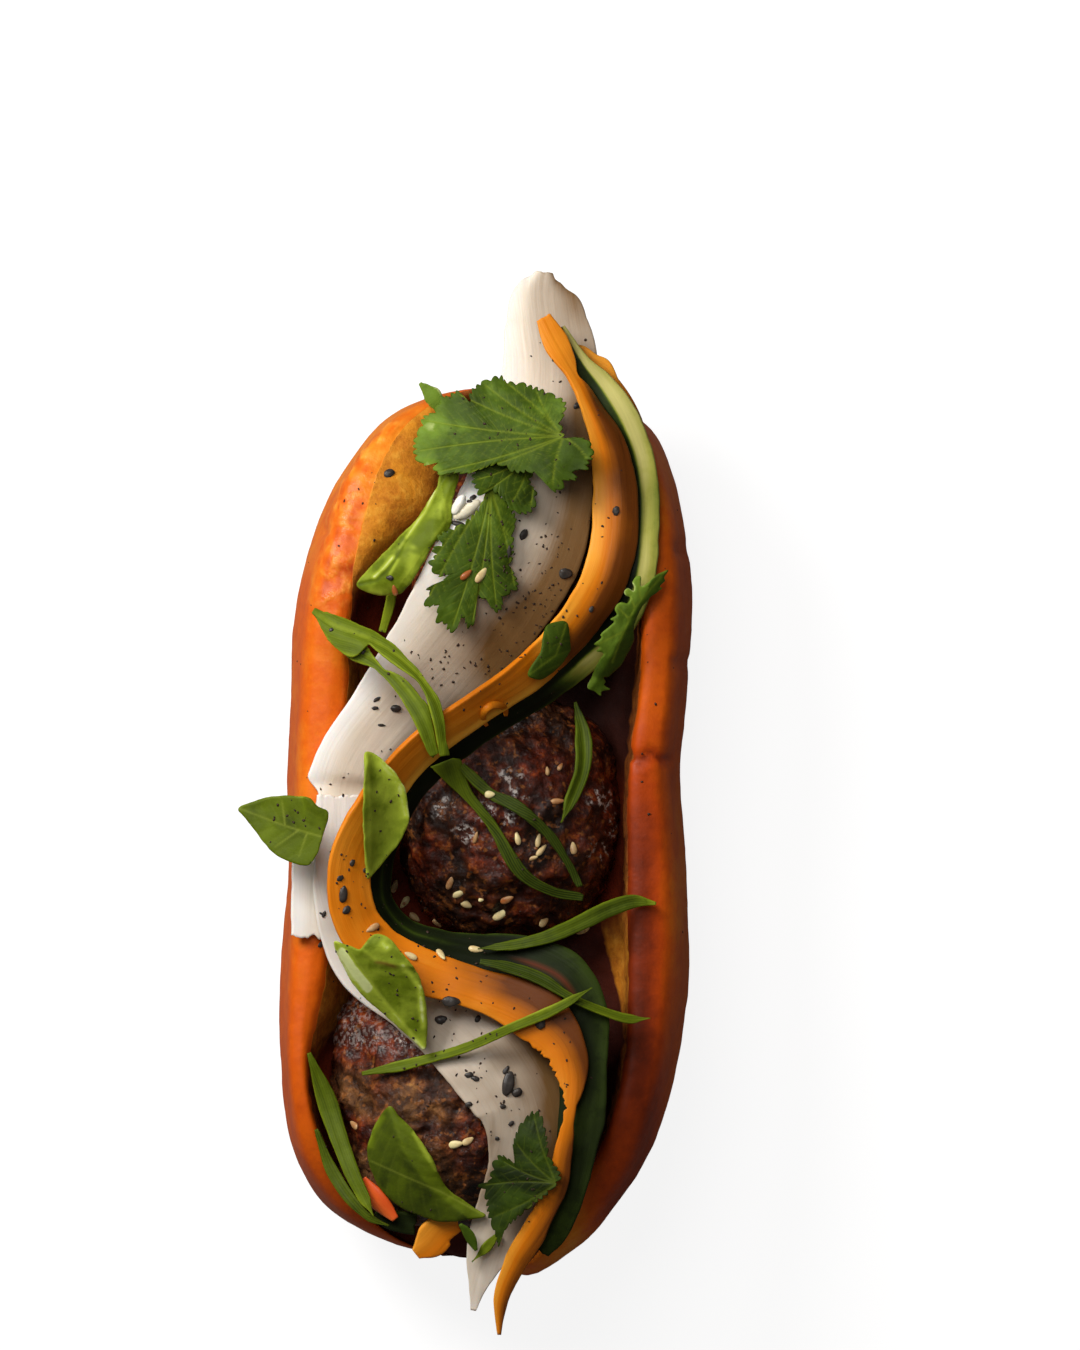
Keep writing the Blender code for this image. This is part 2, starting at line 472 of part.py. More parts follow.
def seed_mesh():
    """One sesame seed, a flat drop, lying along x."""
    shape = bmesh.new()
    bmesh.ops.create_uvsphere(shape, u_segments=5, v_segments=4, radius=0.5)
    bmesh.ops.rotate(shape, verts=shape.verts, matrix=Matrix.Rotation(math.pi / 2, 3, "Y"))
    for corner in shape.verts:
        taper = 1 - 0.45 * (corner.co.x + 0.5) ** 2
        corner.co *= Vector((SEED_LENGTH, SEED_WIDTH * taper, SEED_THICKNESS))
    bmesh.ops.triangulate(shape, faces=shape.faces)
    return from_bmesh(shape)


def meatball(half_sizes, seed_count, number):
    """An uneven ball with sesame seeds stuck to its upper side, as one closed mesh around the origin."""
    shape = bmesh.new()
    bmesh.ops.create_uvsphere(shape, u_segments=22, v_segments=13, radius=1.0)
    bmesh.ops.triangulate(shape, faces=shape.faces)
    points, triangles = from_bmesh(shape)
    points = lumpy(points * np.array(half_sizes), MEAT_RELIEF, MEAT_LUMP, number * 7.3)
    ball = mesh_object("ball", points, triangles, None)
    draw = random.Random(number)
    seeds = bpy.data.collections.new("seeds")
    seed_points, seed_triangles = seed_mesh()
    order = [index for index in range(len(points)) if points[index, 2] > SEED_LOWEST * half_sizes[2]]
    draw.shuffle(order)
    taken = []
    for index in order:
        place = Vector(points[index])
        if len(taken) == seed_count:
            break
        if any((place - other).length < SEED_SPACING for other in taken):
            continue
        taken.append(place)
        upward = Vector([place[axis] / half_sizes[axis] ** 2 for axis in range(3)])
        turn = upward.to_track_quat("Z", "X").to_matrix() @ Matrix.Rotation(draw.uniform(0, math.tau), 3, "Z")
        placed = seed_points @ np.array(turn).T + np.array(place + upward.normalized() * SEED_SINK)
        seed = mesh_object("seed", placed, seed_triangles, None)
        bpy.context.collection.objects.unlink(seed)
        seeds.objects.link(seed)
    union = ball.modifiers.new("seeds", "BOOLEAN")
    union.operation = "UNION"
    union.operand_type = "COLLECTION"
    union.collection = seeds
    union.solver = "MANIFOLD"
    bpy.context.collection.children.link(seeds)
    bpy.context.view_layer.update()
    joined = ball.evaluated_get(bpy.context.evaluated_depsgraph_get())
    shape = bmesh.new()
    shape.from_mesh(joined.data)
    bmesh.ops.triangulate(shape, faces=shape.faces)
    shape.transform(Matrix.Scale(1 / MM, 4))
    for helper in list(seeds.objects) + [ball]:
        bpy.data.objects.remove(helper, do_unlink=True)
    bpy.data.collections.remove(seeds)
    return from_bmesh(shape)


def lump(half_sizes, relief, number):
    """A small uneven chunk around the origin."""
    shape = bmesh.new()
    bmesh.ops.create_icosphere(shape, subdivisions=2, radius=1.0)
    points, triangles = from_bmesh(shape)
    return lumpy(points * np.array(half_sizes), relief, min(half_sizes) * 2, number), triangles


# ---------------------------------------------------------------- objects

def finish(name, colour, roughness):
    """A plain material of one colour."""
    material = bpy.data.materials.new(name)
    material.use_nodes = True
    shader = material.node_tree.nodes["Principled BSDF"]
    shader.inputs["Base Color"].default_value = (*colour, 1.0)
    shader.inputs["Roughness"].default_value = roughness
    shader.inputs["Metallic"].default_value = 0.0
    return material


def mesh_object(name, points, triangles, material):
    """An object with its origin in the middle of its points."""
    middle = (points.max(axis=0) + points.min(axis=0)) / 2 if material else np.zeros(3)
    mesh = bpy.data.meshes.new(name)
    mesh.from_pydata(((points - middle) * MM).tolist(), [], triangles.tolist())
    mesh.validate()
    if material:
        mesh.materials.append(material)
        mesh.shade_smooth()
        mesh.set_sharp_from_angle(angle=math.radians(50))
    piece = bpy.data.objects.new(name, mesh)
    piece.location = middle * MM
    bpy.context.collection.objects.link(piece)
    return piece


def main():
    for old in list(bpy.data.objects):
        bpy.data.objects.remove(old, do_unlink=True)
    sandwich = bpy.data.objects.new("sandwich", None)
    bpy.context.collection.objects.link(sandwich)
    terrain = Terrain()

    crust = finish("crust", (0.62, 0.20, 0.05), 0.35)
    meat = finish("meat", (0.07, 0.025, 0.015), 0.3)
    daikon = finish("daikon", (0.72, 0.66, 0.55), 0.4)
    cucumber = finish("cucumber", (0.05, 0.07, 0.02), 0.35)
    carrot = finish("carrot", (0.75, 0.24, 0.02), 0.4)
    herb = finish("herb", (0.12, 0.22, 0.03), 0.45)
    onion = finish("onion", (0.65, 0.6, 0.45), 0.4)
    chilli = finish("chilli", (0.6, 0.12, 0.02), 0.35)

    def lay(name, shape, material):
        points, triangles = shape
        terrain.add(points, triangles)
        mesh_object(name, points, triangles, material).parent = sandwich

    def lay_lump(name, place, shape, material):
        points, triangles = shape
        points = points + np.array((*place, 0.0))
        points[:, 2] += terrain.lift(points, triangles)
        lay(name, (points, triangles), material)

    lay("roll", roll_mesh(), crust)
    for number, (name, (place, half_sizes, seed_count)) in enumerate(MEATBALLS.items()):
        lay_lump(name, place, meatball(half_sizes, seed_count, number + 1), meat)

    lay("cucumber_scrap", ribbon(terrain, CUCUMBER_SCRAP, CUCUMBER_THICKNESS, 6, 2, follow=True), cucumber)
    lay("carrot_scrap", ribbon(terrain, CARROT_SCRAP, CARROT_THICKNESS, 8, 3, follow=True), carrot)
    lay("chilli_piece", ribbon(terrain, CHILLI_PIECE, CARROT_THICKNESS, 7, 2, 0.3, follow=True), chilli)
    lay("stem", ribbon(terrain, STEM, SCALLION_THICKNESS * 2, 8, 2, 0.3, follow=True), herb)

    lay("daikon_upper", ribbon(terrain, DAIKON_UPPER, DAIKON_THICKNESS, 38, 4, 0.10), daikon)
    lay("daikon_lower", ribbon(terrain, DAIKON_LOWER, DAIKON_THICKNESS, 36, 4, 0.08), daikon)
    lay("carrot_corner", ribbon(terrain, CARROT_CORNER, CARROT_THICKNESS, 8, 2, 0.1), carrot)
    lay("cucumber_ribbon", ribbon(terrain, CUCUMBER, CUCUMBER_THICKNESS, 66, 3, 0.10), cucumber)
    lay("carrot_ribbon", ribbon(terrain, CARROT, CARROT_THICKNESS, 70, 3, 0.10), carrot)
    lay_lump("onion_chunk", ONION_PLACE, lump(ONION_HALF_SIZES, 0.5, 2.0), onion)

    for name, route, steps, across, crown in BLADES:
        blade = ribbon(terrain, route, SCALLION_THICKNESS, steps, across, crown, True, LEAF_SLOPE)
        lay(name, blade, herb)
    for name, route, steps, across, crown in LEAVES:
        leaf = ribbon(terrain, route, LEAF_THICKNESS, steps, across, crown, True, LEAF_SLOPE)
        lay(name, leaf, herb)
    for name, hub, lobes in FANS:
        lay(name, fan_leaf(terrain, hub, lobes), herb)


main()
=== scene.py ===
"""The looks of a filled split sandwich roll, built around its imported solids.

The solids say where everything lies. This script makes each piece again with its fine surface: the glossy
crust and toasted crumb, the seared and glazed meat, the peeled ribbons, the veined leaves, and the seeds and
pepper on top. Sizes are in millimetres, and MM turns them into metres when a mesh is made. Places that were
read from the photograph are named as its pixels.
"""

import math
import random

import bmesh
import bpy
import numpy as np
from mathutils import Matrix, Vector, geometry, noise
from mathutils.bvhtree import BVHTree


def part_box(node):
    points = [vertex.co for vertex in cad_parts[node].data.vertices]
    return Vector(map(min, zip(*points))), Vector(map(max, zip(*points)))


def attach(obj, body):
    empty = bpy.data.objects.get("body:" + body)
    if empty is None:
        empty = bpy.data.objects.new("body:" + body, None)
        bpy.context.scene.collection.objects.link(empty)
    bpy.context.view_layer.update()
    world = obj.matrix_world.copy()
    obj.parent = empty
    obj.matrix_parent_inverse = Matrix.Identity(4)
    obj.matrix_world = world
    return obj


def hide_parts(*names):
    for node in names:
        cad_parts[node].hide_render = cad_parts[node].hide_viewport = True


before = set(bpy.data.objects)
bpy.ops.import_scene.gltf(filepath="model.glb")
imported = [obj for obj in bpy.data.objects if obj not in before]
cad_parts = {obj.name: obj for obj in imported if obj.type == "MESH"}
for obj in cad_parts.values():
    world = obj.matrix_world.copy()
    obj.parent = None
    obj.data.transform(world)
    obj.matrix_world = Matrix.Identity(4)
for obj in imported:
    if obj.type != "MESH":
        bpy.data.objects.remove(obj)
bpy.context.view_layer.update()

MM = 0.001


# ---------------------------------------------------------------- the photograph's frame

PIXELS_PER_MM = 5.5
ORIGIN_PIXEL = (486, 830)       # the pixel of the part's origin
PHOTO_HEIGHT = 1350


def photo(x, y):
    """The place across and along the roll, in millimetres, of a pixel of the photograph."""
    return (x - ORIGIN_PIXEL[0]) / PIXELS_PER_MM, (ORIGIN_PIXEL[1] - y) / PIXELS_PER_MM


# ---------------------------------------------------------------- sizes and routes, as in the solids

ROLL_HEIGHT = 43.0
SLOT_FLOOR = 12.0
LOWER_DOME, UPPER_DOME = 8.0, 8.9
DOME_MIDDLE = 0.42
ROLL_SECTIONS = (
    (-70.0, -31.0, 20.4, -23.0, 11.0),
    (-64.0, -34.4, 25.8, -27.5, 16.5),
    (-55.0, -36.8, 30.8, -31.0, 21.5),
    (-40.0, -37.9, 35.2, -32.5, 25.0),
    (-22.0, -37.6, 37.3, -29.8, 25.8),
    (-5.0, -36.3, 36.6, -28.5, 25.6),
    (10.0, -36.5, 35.3, -27.5, 25.6),
    (25.0, -36.0, 36.7, -26.5, 27.5),
    (45.0, -34.2, 37.8, -24.0, 28.0),
    (58.0, -30.4, 36.0, -22.0, 27.0),
    (66.0, -26.3, 34.1, -20.0, 25.0),
    (72.0, -21.4, 31.6, -16.0, 22.5),
)
END_SLANT = 2.9
SLANT_REACH = 45.0
END_RISE = 5.5
END_DROP = 7.0
FLAT_REACH = 48.0
FLOOR_RISE = 9.0
SIDE = ((0.58, 0.0), (0.76, 0.025), (0.90, 0.12), (0.98, 0.28), (1.0, 0.46), (0.99, 0.64), (0.955, 0.81))
LIP = ((0.76, 0.965), (0.44, 0.995), (0.13, 1.0), (0.0, 0.95))
WALL = ((0.03, 1.0), (0.13, 0.80), (0.32, 0.64), (0.62, 0.55))
WALL_TOP = 0.76
BED = 0.50               # how high the cut's bed of crumb lies around the meat, as a share of the cut's depth

# Meatballs: centre x and y, half sizes along x, y and z, and the seed of their lumps.
MEATBALLS = {
    "meatball_top": ((1.0, 47.5), (19.3, 20.5, 17.5), 1),
    "meatball_middle": ((3.6, 2.7), (19.6, 22.2, 18.0), 2),
    "meatball_bottom": ((-7.0, -51.5), (20.8, 21.3, 18.0), 3),
}
MEAT_RELIEF = 1.1
MEAT_LUMP = 8.0

# Ribbons and blades: each point of a route is x, y, half width and, unless the piece lies flat, its roll in
# degrees (positive: the side to the left of the way along it is higher). They run from their upper end to
# their lower end.
DAIKON_UPPER = (
    (10.7, 101.5, 1.6, 0), (10.3, 98.4, 5.2, 0), (10.8, 92.7, 7.6, 0), (11.6, 86.5, 8.7, 0),
    (11.4, 78.5, 9.3, 0), (9.1, 67.8, 10.7, 0), (5.8, 54.5, 13.0, -5), (-2.4, 39.6, 12.1, -10),
    (-14.7, 24.9, 8.5, -14), (-20.2, 18.7, 6.9, -12), (-24.6, 12.2, 6.6, -10), (-26.6, 4.5, 7.5, -12),
    (-27.2, -6.0, 8.3, -14), (-27.6, -19.6, 8.3, -16),
)
DAIKON_LOWER = (
    (-25.5, 6.5, 5.5, -14), (-25.1, -3.6, 6.6, -18), (-23.6, -12.7, 8.3, -20), (-19.6, -21.5, 9.5, -16),
    (-11.1, -27.8, 9.8, -10), (-3.3, -33.6, 10.8, -5), (3.8, -41.8, 11.0, -9), (8.0, -50.0, 10.0, -16),
    (7.6, -60.0, 7.6, -14), (4.0, -69.1, 6.0, -6), (0.4, -76.4, 4.3, 0), (-1.5, -82.7, 2.0, 0),
    (-2.4, -87.3, 0.5, 0),
)
CUCUMBER = (
    (13.5, 91.3, 0.8, -10), (17.0, 84.6, 2.2, -4), (20.2, 79.8, 3.8, 4), (23.4, 74.5, 4.5, 10),
    (25.7, 69.1, 4.6, 12), (27.0, 62.7, 4.6, 12), (27.0, 54.5, 4.6, 10), (26.2, 46.4, 4.6, 4),
    (22.9, 38.4, 4.6, -10), (15.6, 31.2, 4.5, -28), (7.9, 25.0, 4.4, -42), (0.0, 19.9, 4.4, -46),
    (-6.8, 15.1, 4.4, -46), (-13.7, 8.3, 4.4, -48), (-18.0, 0.5, 4.4, -50), (-20.2, -7.0, 4.3, -50),
    (-19.6, -14.0, 4.3, -50), (-15.4, -18.8, 4.3, -48), (-8.6, -21.4, 4.3, -42), (-1.0, -22.8, 4.5, -30),
    (6.5, -24.2, 5.4, -16), (13.4, -27.5, 6.0, -6), (17.2, -34.0, 5.2, 2), (17.6, -42.0, 4.6, 6),
    (17.4, -52.0, 4.3, 8), (15.8, -60.5, 3.8, 6), (13.2, -68.5, 3.8, 4), (11.0, -73.6, 3.2, 0),
    (9.5, -76.2, 2.2, 0),
)
CARROT = (
    (10.4, 93.1, 1.6, -8), (12.5, 88.7, 2.5, -14), (15.8, 82.7, 1.7, -36), (19.6, 76.0, 2.5, -22),
    (22.0, 70.9, 3.3, -8), (23.2, 65.0, 4.0, 0), (23.5, 55.0, 4.4, 0), (22.2, 47.3, 4.5, -6),
    (18.5, 40.0, 4.4, -18), (12.6, 33.0, 4.6, -36), (6.0, 27.4, 4.7, -48), (-1.6, 22.2, 4.7, -52),
    (-8.6, 17.4, 4.7, -52), (-15.8, 10.6, 4.7, -50), (-21.0, 3.0, 4.7, -42), (-24.2, -3.8, 4.6, -34),
    (-24.9, -10.4, 4.5, -30), (-23.3, -16.8, 4.6, -27), (-18.4, -22.2, 4.6, -22), (-10.2, -26.0, 4.3, -16),
    (-0.6, -29.0, 4.0, -10), (8.9, -33.1, 5.3, -4), (14.9, -38.4, 5.4, -2), (16.7, -44.2, 4.2, -4),
    (16.2, -50.6, 2.3, -8), (14.5, -58.7, 2.4, -8), (13.2, -65.0, 2.6, -8), (9.8, -71.3, 2.6, -4),
    (5.3, -78.5, 2.2, 0), (2.7, -85.5, 1.4, 0), (2.4, -91.6, 0.4, 0),
)
CARROT_CORNER = (
    (15.6, 87.4, 1.2, -10), (20.7, 85.1, 2.4, -8), (24.9, 80.8, 2.8, 0), (28.0, 75.4, 2.6, 0),
    (29.8, 69.0, 1.2, 0),
)

CUCUMBER_SCRAP = ((-20.4, -70.2, 0.8), (-16.6, -71.0, 1.9), (-12.8, -71.4, 2.2))
CARROT_SCRAP = ((-5.0, -71.5, 1.4), (-8.2, -72.6, 3.0), (-10.3, -75.0, 3.0), (-12.8, -77.0, 1.0))
CHILLI_PIECE = ((-22.3, -63.2, 0.9), (-20.2, -66.2, 1.9), (-17.6, -69.2, 1.5),
                (-16.4, -70.6, 0.8))
STEM = ((-16.9, 45.0, 0.8), (-17.3, 42.0, 1.0), (-17.9, 39.5, 0.9), (-18.9, 36.0, 0.8))
SCRAPS = (   # name, route and slot
    ("cucumber_scrap", CUCUMBER_SCRAP, "cucumber"),
    ("carrot_scrap", CARROT_SCRAP, "carrot"),
    ("chilli_piece", CHILLI_PIECE, "chilli"),
)

# Scallion blades: name and route.
BLADES = (
    ("scallion_loop_a", ((-6.5, 12.9, 1.0), (-3.5, 5.5, 1.1), (1.8, -0.5, 1.1),
                         (7.0, -9.0, 1.1), (12.2, -11.6, 1.0), (17.6, -12.6, 0.7))),
    ("scallion_loop_b", ((-3.6, 12.6, 0.8), (-1.0, 9.8, 0.9), (4.4, 6.2, 0.9), (10.7, 2.6, 0.8),
                         (13.8, -1.8, 0.8), (16.2, -6.0, 0.8), (17.6, -10.0, 0.6))),
    ("scallion_blade", ((16.2, 23.3, 0.3), (17.6, 17.3, 1.3), (17.4, 10.9, 1.3),
                        (15.7, 6.2, 1.1), (13.6, 1.5, 0.3))),
    ("scallion_split_b", ((-25.2, 32.6, 0.5), (-21.5, 31.0, 1.6), (-17.6, 28.2, 1.6),
                          (-14.7, 25.1, 1.6), (-12.4, 21.8, 1.5), (-10.8, 18.4, 1.4),
                          (-9.4, 13.6, 1.1))),
    ("scallion_split_a", ((-31.5, 39.6, 0.3), (-27.3, 36.9, 1.9), (-22.6, 35.2, 2.0),
                          (-18.0, 33.0, 2.0), (-14.7, 30.6, 1.9), (-11.7, 27.5, 1.7),
                          (-9.4, 24.0, 1.6), (-8.0, 20.0, 1.6), (-7.2, 13.6, 1.3))),
    ("scallion_corner_b", ((-30.9, -54.4, 0.4), (-28.2, -61.5, 1.1), (-24.6, -67.0, 1.1),
                           (-21.0, -70.4, 0.8), (-17.6, -71.8, 0.4))),
    ("scallion_corner_a", ((-32.2, -40.5, 0.4), (-29.4, -48.0, 1.8), (-26.7, -56.0, 1.7),
                           (-24.2, -62.5, 1.4), (-22.0, -67.0, 1.1),
                           (-20.4, -70.0, 0.5))),
    ("scallion_right_blade", ((30.9, -13.3, 0.3), (27.0, -12.9, 1.2), (22.5, -14.2, 1.5),
                              (17.5, -16.6, 1.5), (11.5, -19.2, 1.3), (5.0, -20.8, 1.0),
                              (-1.5, -21.5, 0.4))),
    ("scallion_right", ((-1.1, -23.8, 0.5), (4.5, -24.9, 1.2), (10.0, -26.9, 1.3),
                        (14.6, -29.8, 0.9), (21.1, -32.7, 0.9), (26.7, -34.2, 0.8),
                        (29.8, -34.0, 0.4))),
    ("scallion_cross", ((-22.5, -44.2, 0.4), (-14.9, -42.6, 1.0), (-9.3, -41.1, 0.9),
                        (-4.9, -39.8, 0.9), (4.4, -35.8, 0.9), (13.5, -31.8, 0.9),
                        (19.3, -28.4, 0.3))),
    ("scallion_scrap", ((2.2, -73.2, 0.3), (0.0, -75.8, 0.9), (-2.6, -78.4, 0.3))),
)

# Single leaves: name, and route from the stalk to the tip.
LEAVES = (
    ("leaf_tip", ((-8.4, 76.4, 0.8), (-9.6, 78.8, 1.6), (-12.1, 81.4, 0.3))),
    ("leaf_piece", ((8.4, 26.8, 0.6), (10.2, 30.6, 2.9), (12.6, 34.6, 3.1),
                    (14.6, 38.2, 0.6))),
    ("basil_top", ((-7.3, 61.6, 0.6), (-10.0, 56.0, 2.9), (-13.4, 51.4, 4.0),
                   (-17.1, 47.5, 4.1), (-20.6, 45.3, 2.3), (-23.8, 44.3, 0.3))),
    ("basil_left", ((-28.7, 0.4, 1.6), (-32.9, -0.3, 5.9), (-36.9, 0.4, 5.6), (-40.9, 1.7, 3.5),
                    (-44.7, 3.6, 0.3))),
    ("basil_fold", ((-20.4, 13.6, 0.8), (-18.4, 8.9, 3.5), (-17.8, 4.5, 4.2), (-18.2, 0.0, 4.1),
                    (-18.8, -3.7, 3.1), (-19.9, -7.0, 1.4), (-20.9, -9.2, 0.3))),
    ("basil_mid", ((-27.2, -20.4, 0.8), (-23.4, -23.8, 3.4), (-19.2, -26.6, 5.3),
                   (-15.9, -30.0, 5.0), (-13.3, -33.8, 3.2), (-11.6, -37.2, 1.3),
                   (-10.8, -39.7, 0.3))),
    ("basil_bottom", ((-17.3, -50.0, 0.8), (-16.4, -55.0, 4.2), (-14.8, -60.0, 5.6),
                      (-12.0, -64.6, 4.8), (-8.0, -68.0, 3.0), (-4.0, -69.8, 1.5),
                      (-0.5, -70.7, 0.3))),
    ("thin_leaf", ((-4.6, -71.4, 0.3), (-3.0, -73.6, 1.0), (-1.6, -76.2, 0.3))),
    ("cilantro_right", ((20.8, 25.4, 0.5), (20.9, 28.8, 1.8), (22.9, 33.4, 2.5),
                        (25.8, 38.5, 2.8), (28.6, 42.8, 2.0), (31.8, 46.6, 0.4))),
)

# Lobed leaves: their outlines, where their veins spring from, and where the main veins end, as pixels of the
# photograph.
FANS = {
    "cilantro_mid": (
        ((491, 488), (484, 498), (478, 511), (463, 525), (450, 531), (437, 538), (443, 544), (433, 549), (436, 556),
         (430, 563), (433, 570), (441, 577), (453, 571), (444, 580), (433, 585), (428, 589), (431, 595), (425, 600),
         (428, 607), (438, 605), (437, 621), (446, 623), (449, 630), (456, 630), (463, 616), (468, 627), (474, 623),
         (476, 612), (478, 597), (486, 600), (495, 611), (501, 608), (504, 596), (517, 588), (515, 577), (510, 568),
         (512, 551), (513, 533), (515, 518), (504, 500)),
        (491, 489), ((437, 539), (433, 563), (429, 599), (452, 627), (472, 622), (497, 608), (514, 587),
                     (511, 540)),
    ),
    "cilantro_fold": (
        ((473, 479), (479, 467), (490, 457), (503, 451), (519, 450), (531, 455), (533, 470), (529, 482), (535, 492),
         (534, 507), (527, 513), (513, 511), (503, 499), (492, 490), (481, 496), (477, 488)),
        (531, 456), ((476, 480), (482, 493), (494, 460), (530, 508), (510, 505)),
    ),
    "cilantro_bottom": (
        ((534, 1110), (525, 1118), (519, 1126), (513, 1143), (514, 1160), (501, 1154), (493, 1165), (490, 1179),
         (480, 1183), (486, 1192), (489, 1213), (496, 1233), (499, 1244), (507, 1225), (529, 1205), (554, 1184),
         (559, 1171), (549, 1157), (546, 1135), (541, 1115)),
        (556, 1181), ((534, 1112), (516, 1140), (502, 1158), (483, 1184), (492, 1215), (499, 1240)),
    ),
    "cilantro_top": (
        ((564, 438), (560, 424), (565, 410), (562, 401), (550, 395), (535, 389), (524, 385), (506, 383), (501, 377),
         (485, 382), (475, 389), (470, 397), (472, 408), (478, 415), (468, 401), (458, 392), (450, 397), (441, 398),
         (436, 411), (424, 418), (422, 426), (416, 440), (415, 450), (417, 459), (426, 466), (437, 460), (435, 470),
         (441, 475), (453, 473), (467, 474), (480, 470), (498, 464), (515, 472), (534, 473), (546, 481), (549, 488),
         (555, 492), (562, 488), (565, 481), (576, 480), (573, 471), (586, 470), (587, 461), (591, 459), (592, 449),
         (585, 440), (574, 438)),
        (563, 437), ((561, 404), (536, 390), (503, 381), (484, 384), (458, 394), (424, 420), (417, 452), (438, 472),
                     (470, 472), (553, 489), (588, 462)),
    ),
}

# Single leaves whose outlines are taken from the photograph, as its pixels.
OUTLINES = {
    "scallion_loop_a": (
        (427, 760), (442, 778), (462, 797), (479, 816), (492, 835), (500, 852), (510, 869), (524, 883), (541, 892),
        (562, 899), (586, 900), (581, 893), (562, 889), (545, 882), (533, 874), (524, 865), (515, 852), (506, 838),
        (496, 822), (484, 806), (475, 795), (469, 784), (464, 770), (460, 759), (444, 757)),
    "scallion_loop_b": (
        (460, 761), (473, 770), (486, 782), (495, 790), (514, 797), (528, 807), (545, 823), (559, 838), (567, 854),
        (576, 869), (583, 885), (587, 898), (581, 893), (573, 881), (565, 866), (556, 852), (546, 839), (533, 826),
        (519, 815), (505, 807), (490, 799), (478, 790), (468, 780), (460, 769)),
    "scallion_split_a": (
        (312, 612), (316, 608), (324, 611), (345, 617), (362, 624), (375, 629), (386, 636), (397, 644), (408, 656),
        (419, 667), (428, 680), (437, 692), (442, 701), (445, 714), (447, 726), (448, 741), (451, 758), (441, 758),
        (437, 745), (433, 725), (428, 706), (425, 695), (421, 687), (417, 681), (407, 674), (397, 668), (387, 661),
        (377, 652), (368, 644), (362, 652), (354, 659), (347, 658), (336, 649), (328, 640), (321, 628), (317, 619)),
    "scallion_split_b": (
        (344, 652), (352, 646), (362, 643), (369, 648), (377, 659), (385, 669), (392, 671), (401, 675), (409, 681),
        (416, 689), (422, 697), (429, 706), (434, 725), (438, 745), (441, 757), (433, 757), (428, 752), (422, 739),
        (416, 726), (410, 714), (404, 704), (397, 693), (388, 682), (380, 674), (373, 668), (361, 664), (350, 659)),
    "basil_top": (
        (441, 475), (458, 474), (456, 488), (453, 500), (452, 511), (452, 522), (446, 533), (433, 545), (424, 563),
        (413, 580), (403, 592), (398, 594), (384, 596), (370, 593), (363, 590), (357, 585), (363, 575), (375, 562),
        (388, 549), (400, 536), (410, 526), (418, 517), (425, 507), (431, 497), (437, 487)),
    "basil_left": (
        (239, 808), (259, 799), (283, 795), (309, 797), (318, 805), (330, 813), (324, 834), (318, 852), (309, 864),
        (291, 861), (271, 849), (259, 834), (247, 819)),
    "basil_fold": (
        (366, 752), (378, 755), (393, 769), (405, 787), (409, 808), (408, 825), (399, 843), (384, 861), (369, 878),
        (366, 864), (364, 828), (364, 799), (365, 769)),
    "basil_mid": (
        (334, 941), (347, 943), (360, 948), (367, 940), (375, 933), (384, 934), (393, 940), (401, 950), (411, 961),
        (419, 974), (424, 989), (427, 1007), (428, 1026), (425, 1048), (414, 1040), (399, 1026), (384, 1013),
        (369, 1000), (356, 986), (344, 966)),
    "basil_bottom": (
        (390, 1105), (400, 1115), (412, 1127), (425, 1145), (434, 1160), (440, 1176), (452, 1191), (470, 1204),
        (486, 1215), (465, 1219), (440, 1221), (420, 1215), (397, 1204), (382, 1190), (372, 1172), (367, 1152),
        (370, 1137), (377, 1120)),
    "cilantro_right": (
        (668, 570), (664, 577), (665, 581), (660, 586), (662, 588), (655, 594), (648, 600), (640, 610), (635, 622),
        (634, 632), (633, 642), (627, 655), (620, 665), (614, 672), (608, 677), (603, 677), (605, 682), (604, 685),
        (610, 689), (602, 691), (601, 696), (595, 692), (587, 687), (591, 677), (595, 667), (600, 659), (603, 653),
        (596, 651), (600, 647), (594, 645), (601, 638), (600, 635), (607, 628), (614, 622), (610, 619), (616, 615),
        (614, 610), (616, 605), (621, 602), (627, 603), (630, 598), (625, 595), (624, 591), (628, 588), (633, 591),
        (634, 587), (632, 582), (636, 577), (641, 577), (641, 586), (648, 582), (656, 575)),
    "leaf_piece": (
        (548, 624), (566, 622), (570, 640), (569, 653), (558, 668), (542, 679), (527, 674), (540, 653), (542, 637)),
}

# Veins of the single leaves, and creases: each crease is its course in pixels, how far it stands up, its width
# in millimetres, and how much painted shade darkens the leaf to the left of its way.
LEAF_VEINS = {
    "basil_top": (((437, 490), (425, 513), (405, 540), (398, 552)),),
    "basil_left": (((330, 838), (286, 825), (241, 808)), ((300, 829), (276, 846)), ((286, 825), (283, 800)),
                   ((308, 832), (300, 855))),
    "basil_mid": (((352, 952), (375, 985), (402, 1020), (425, 1046)),),
    "basil_bottom": (((484, 1214), (440, 1190), (405, 1175), (371, 1160)),),
    "cilantro_right": (((612, 662), (622, 635), (634, 608), (665, 572)), ((622, 632), (598, 644)),
                       ((628, 618), (616, 606)), ((634, 606), (627, 591)), ((640, 598), (638, 579))),
    "leaf_piece": (((566, 624), (556, 655), (530, 674)),),
}
CREASES = {
    "basil_top": ((((405, 540), (397, 558), (390, 568), (377, 580), (360, 584)), -0.20, 0.35, 0.0),
                  (((444, 500), (447, 520), (432, 541)), 0.20, 0.8, 0.10)),
    "basil_fold": ((((368, 755), (371, 810), (370, 875)), 0.30, 0.8, 0.0),),
    "basil_mid": ((((340, 942), (362, 972), (392, 1008), (424, 1046)), 0.40, 1.2, 0.22),
                  (((364, 948), (380, 962), (412, 964)), 0.35, 0.8, 0.0)),
    "basil_bottom": ((((389, 1108), (404, 1150), (428, 1184), (462, 1212)), 0.45, 1.6, -0.22),),
    "cilantro_right": ((((590, 688), (612, 655), (635, 612)), 0.35, 0.9, -0.25),),
}
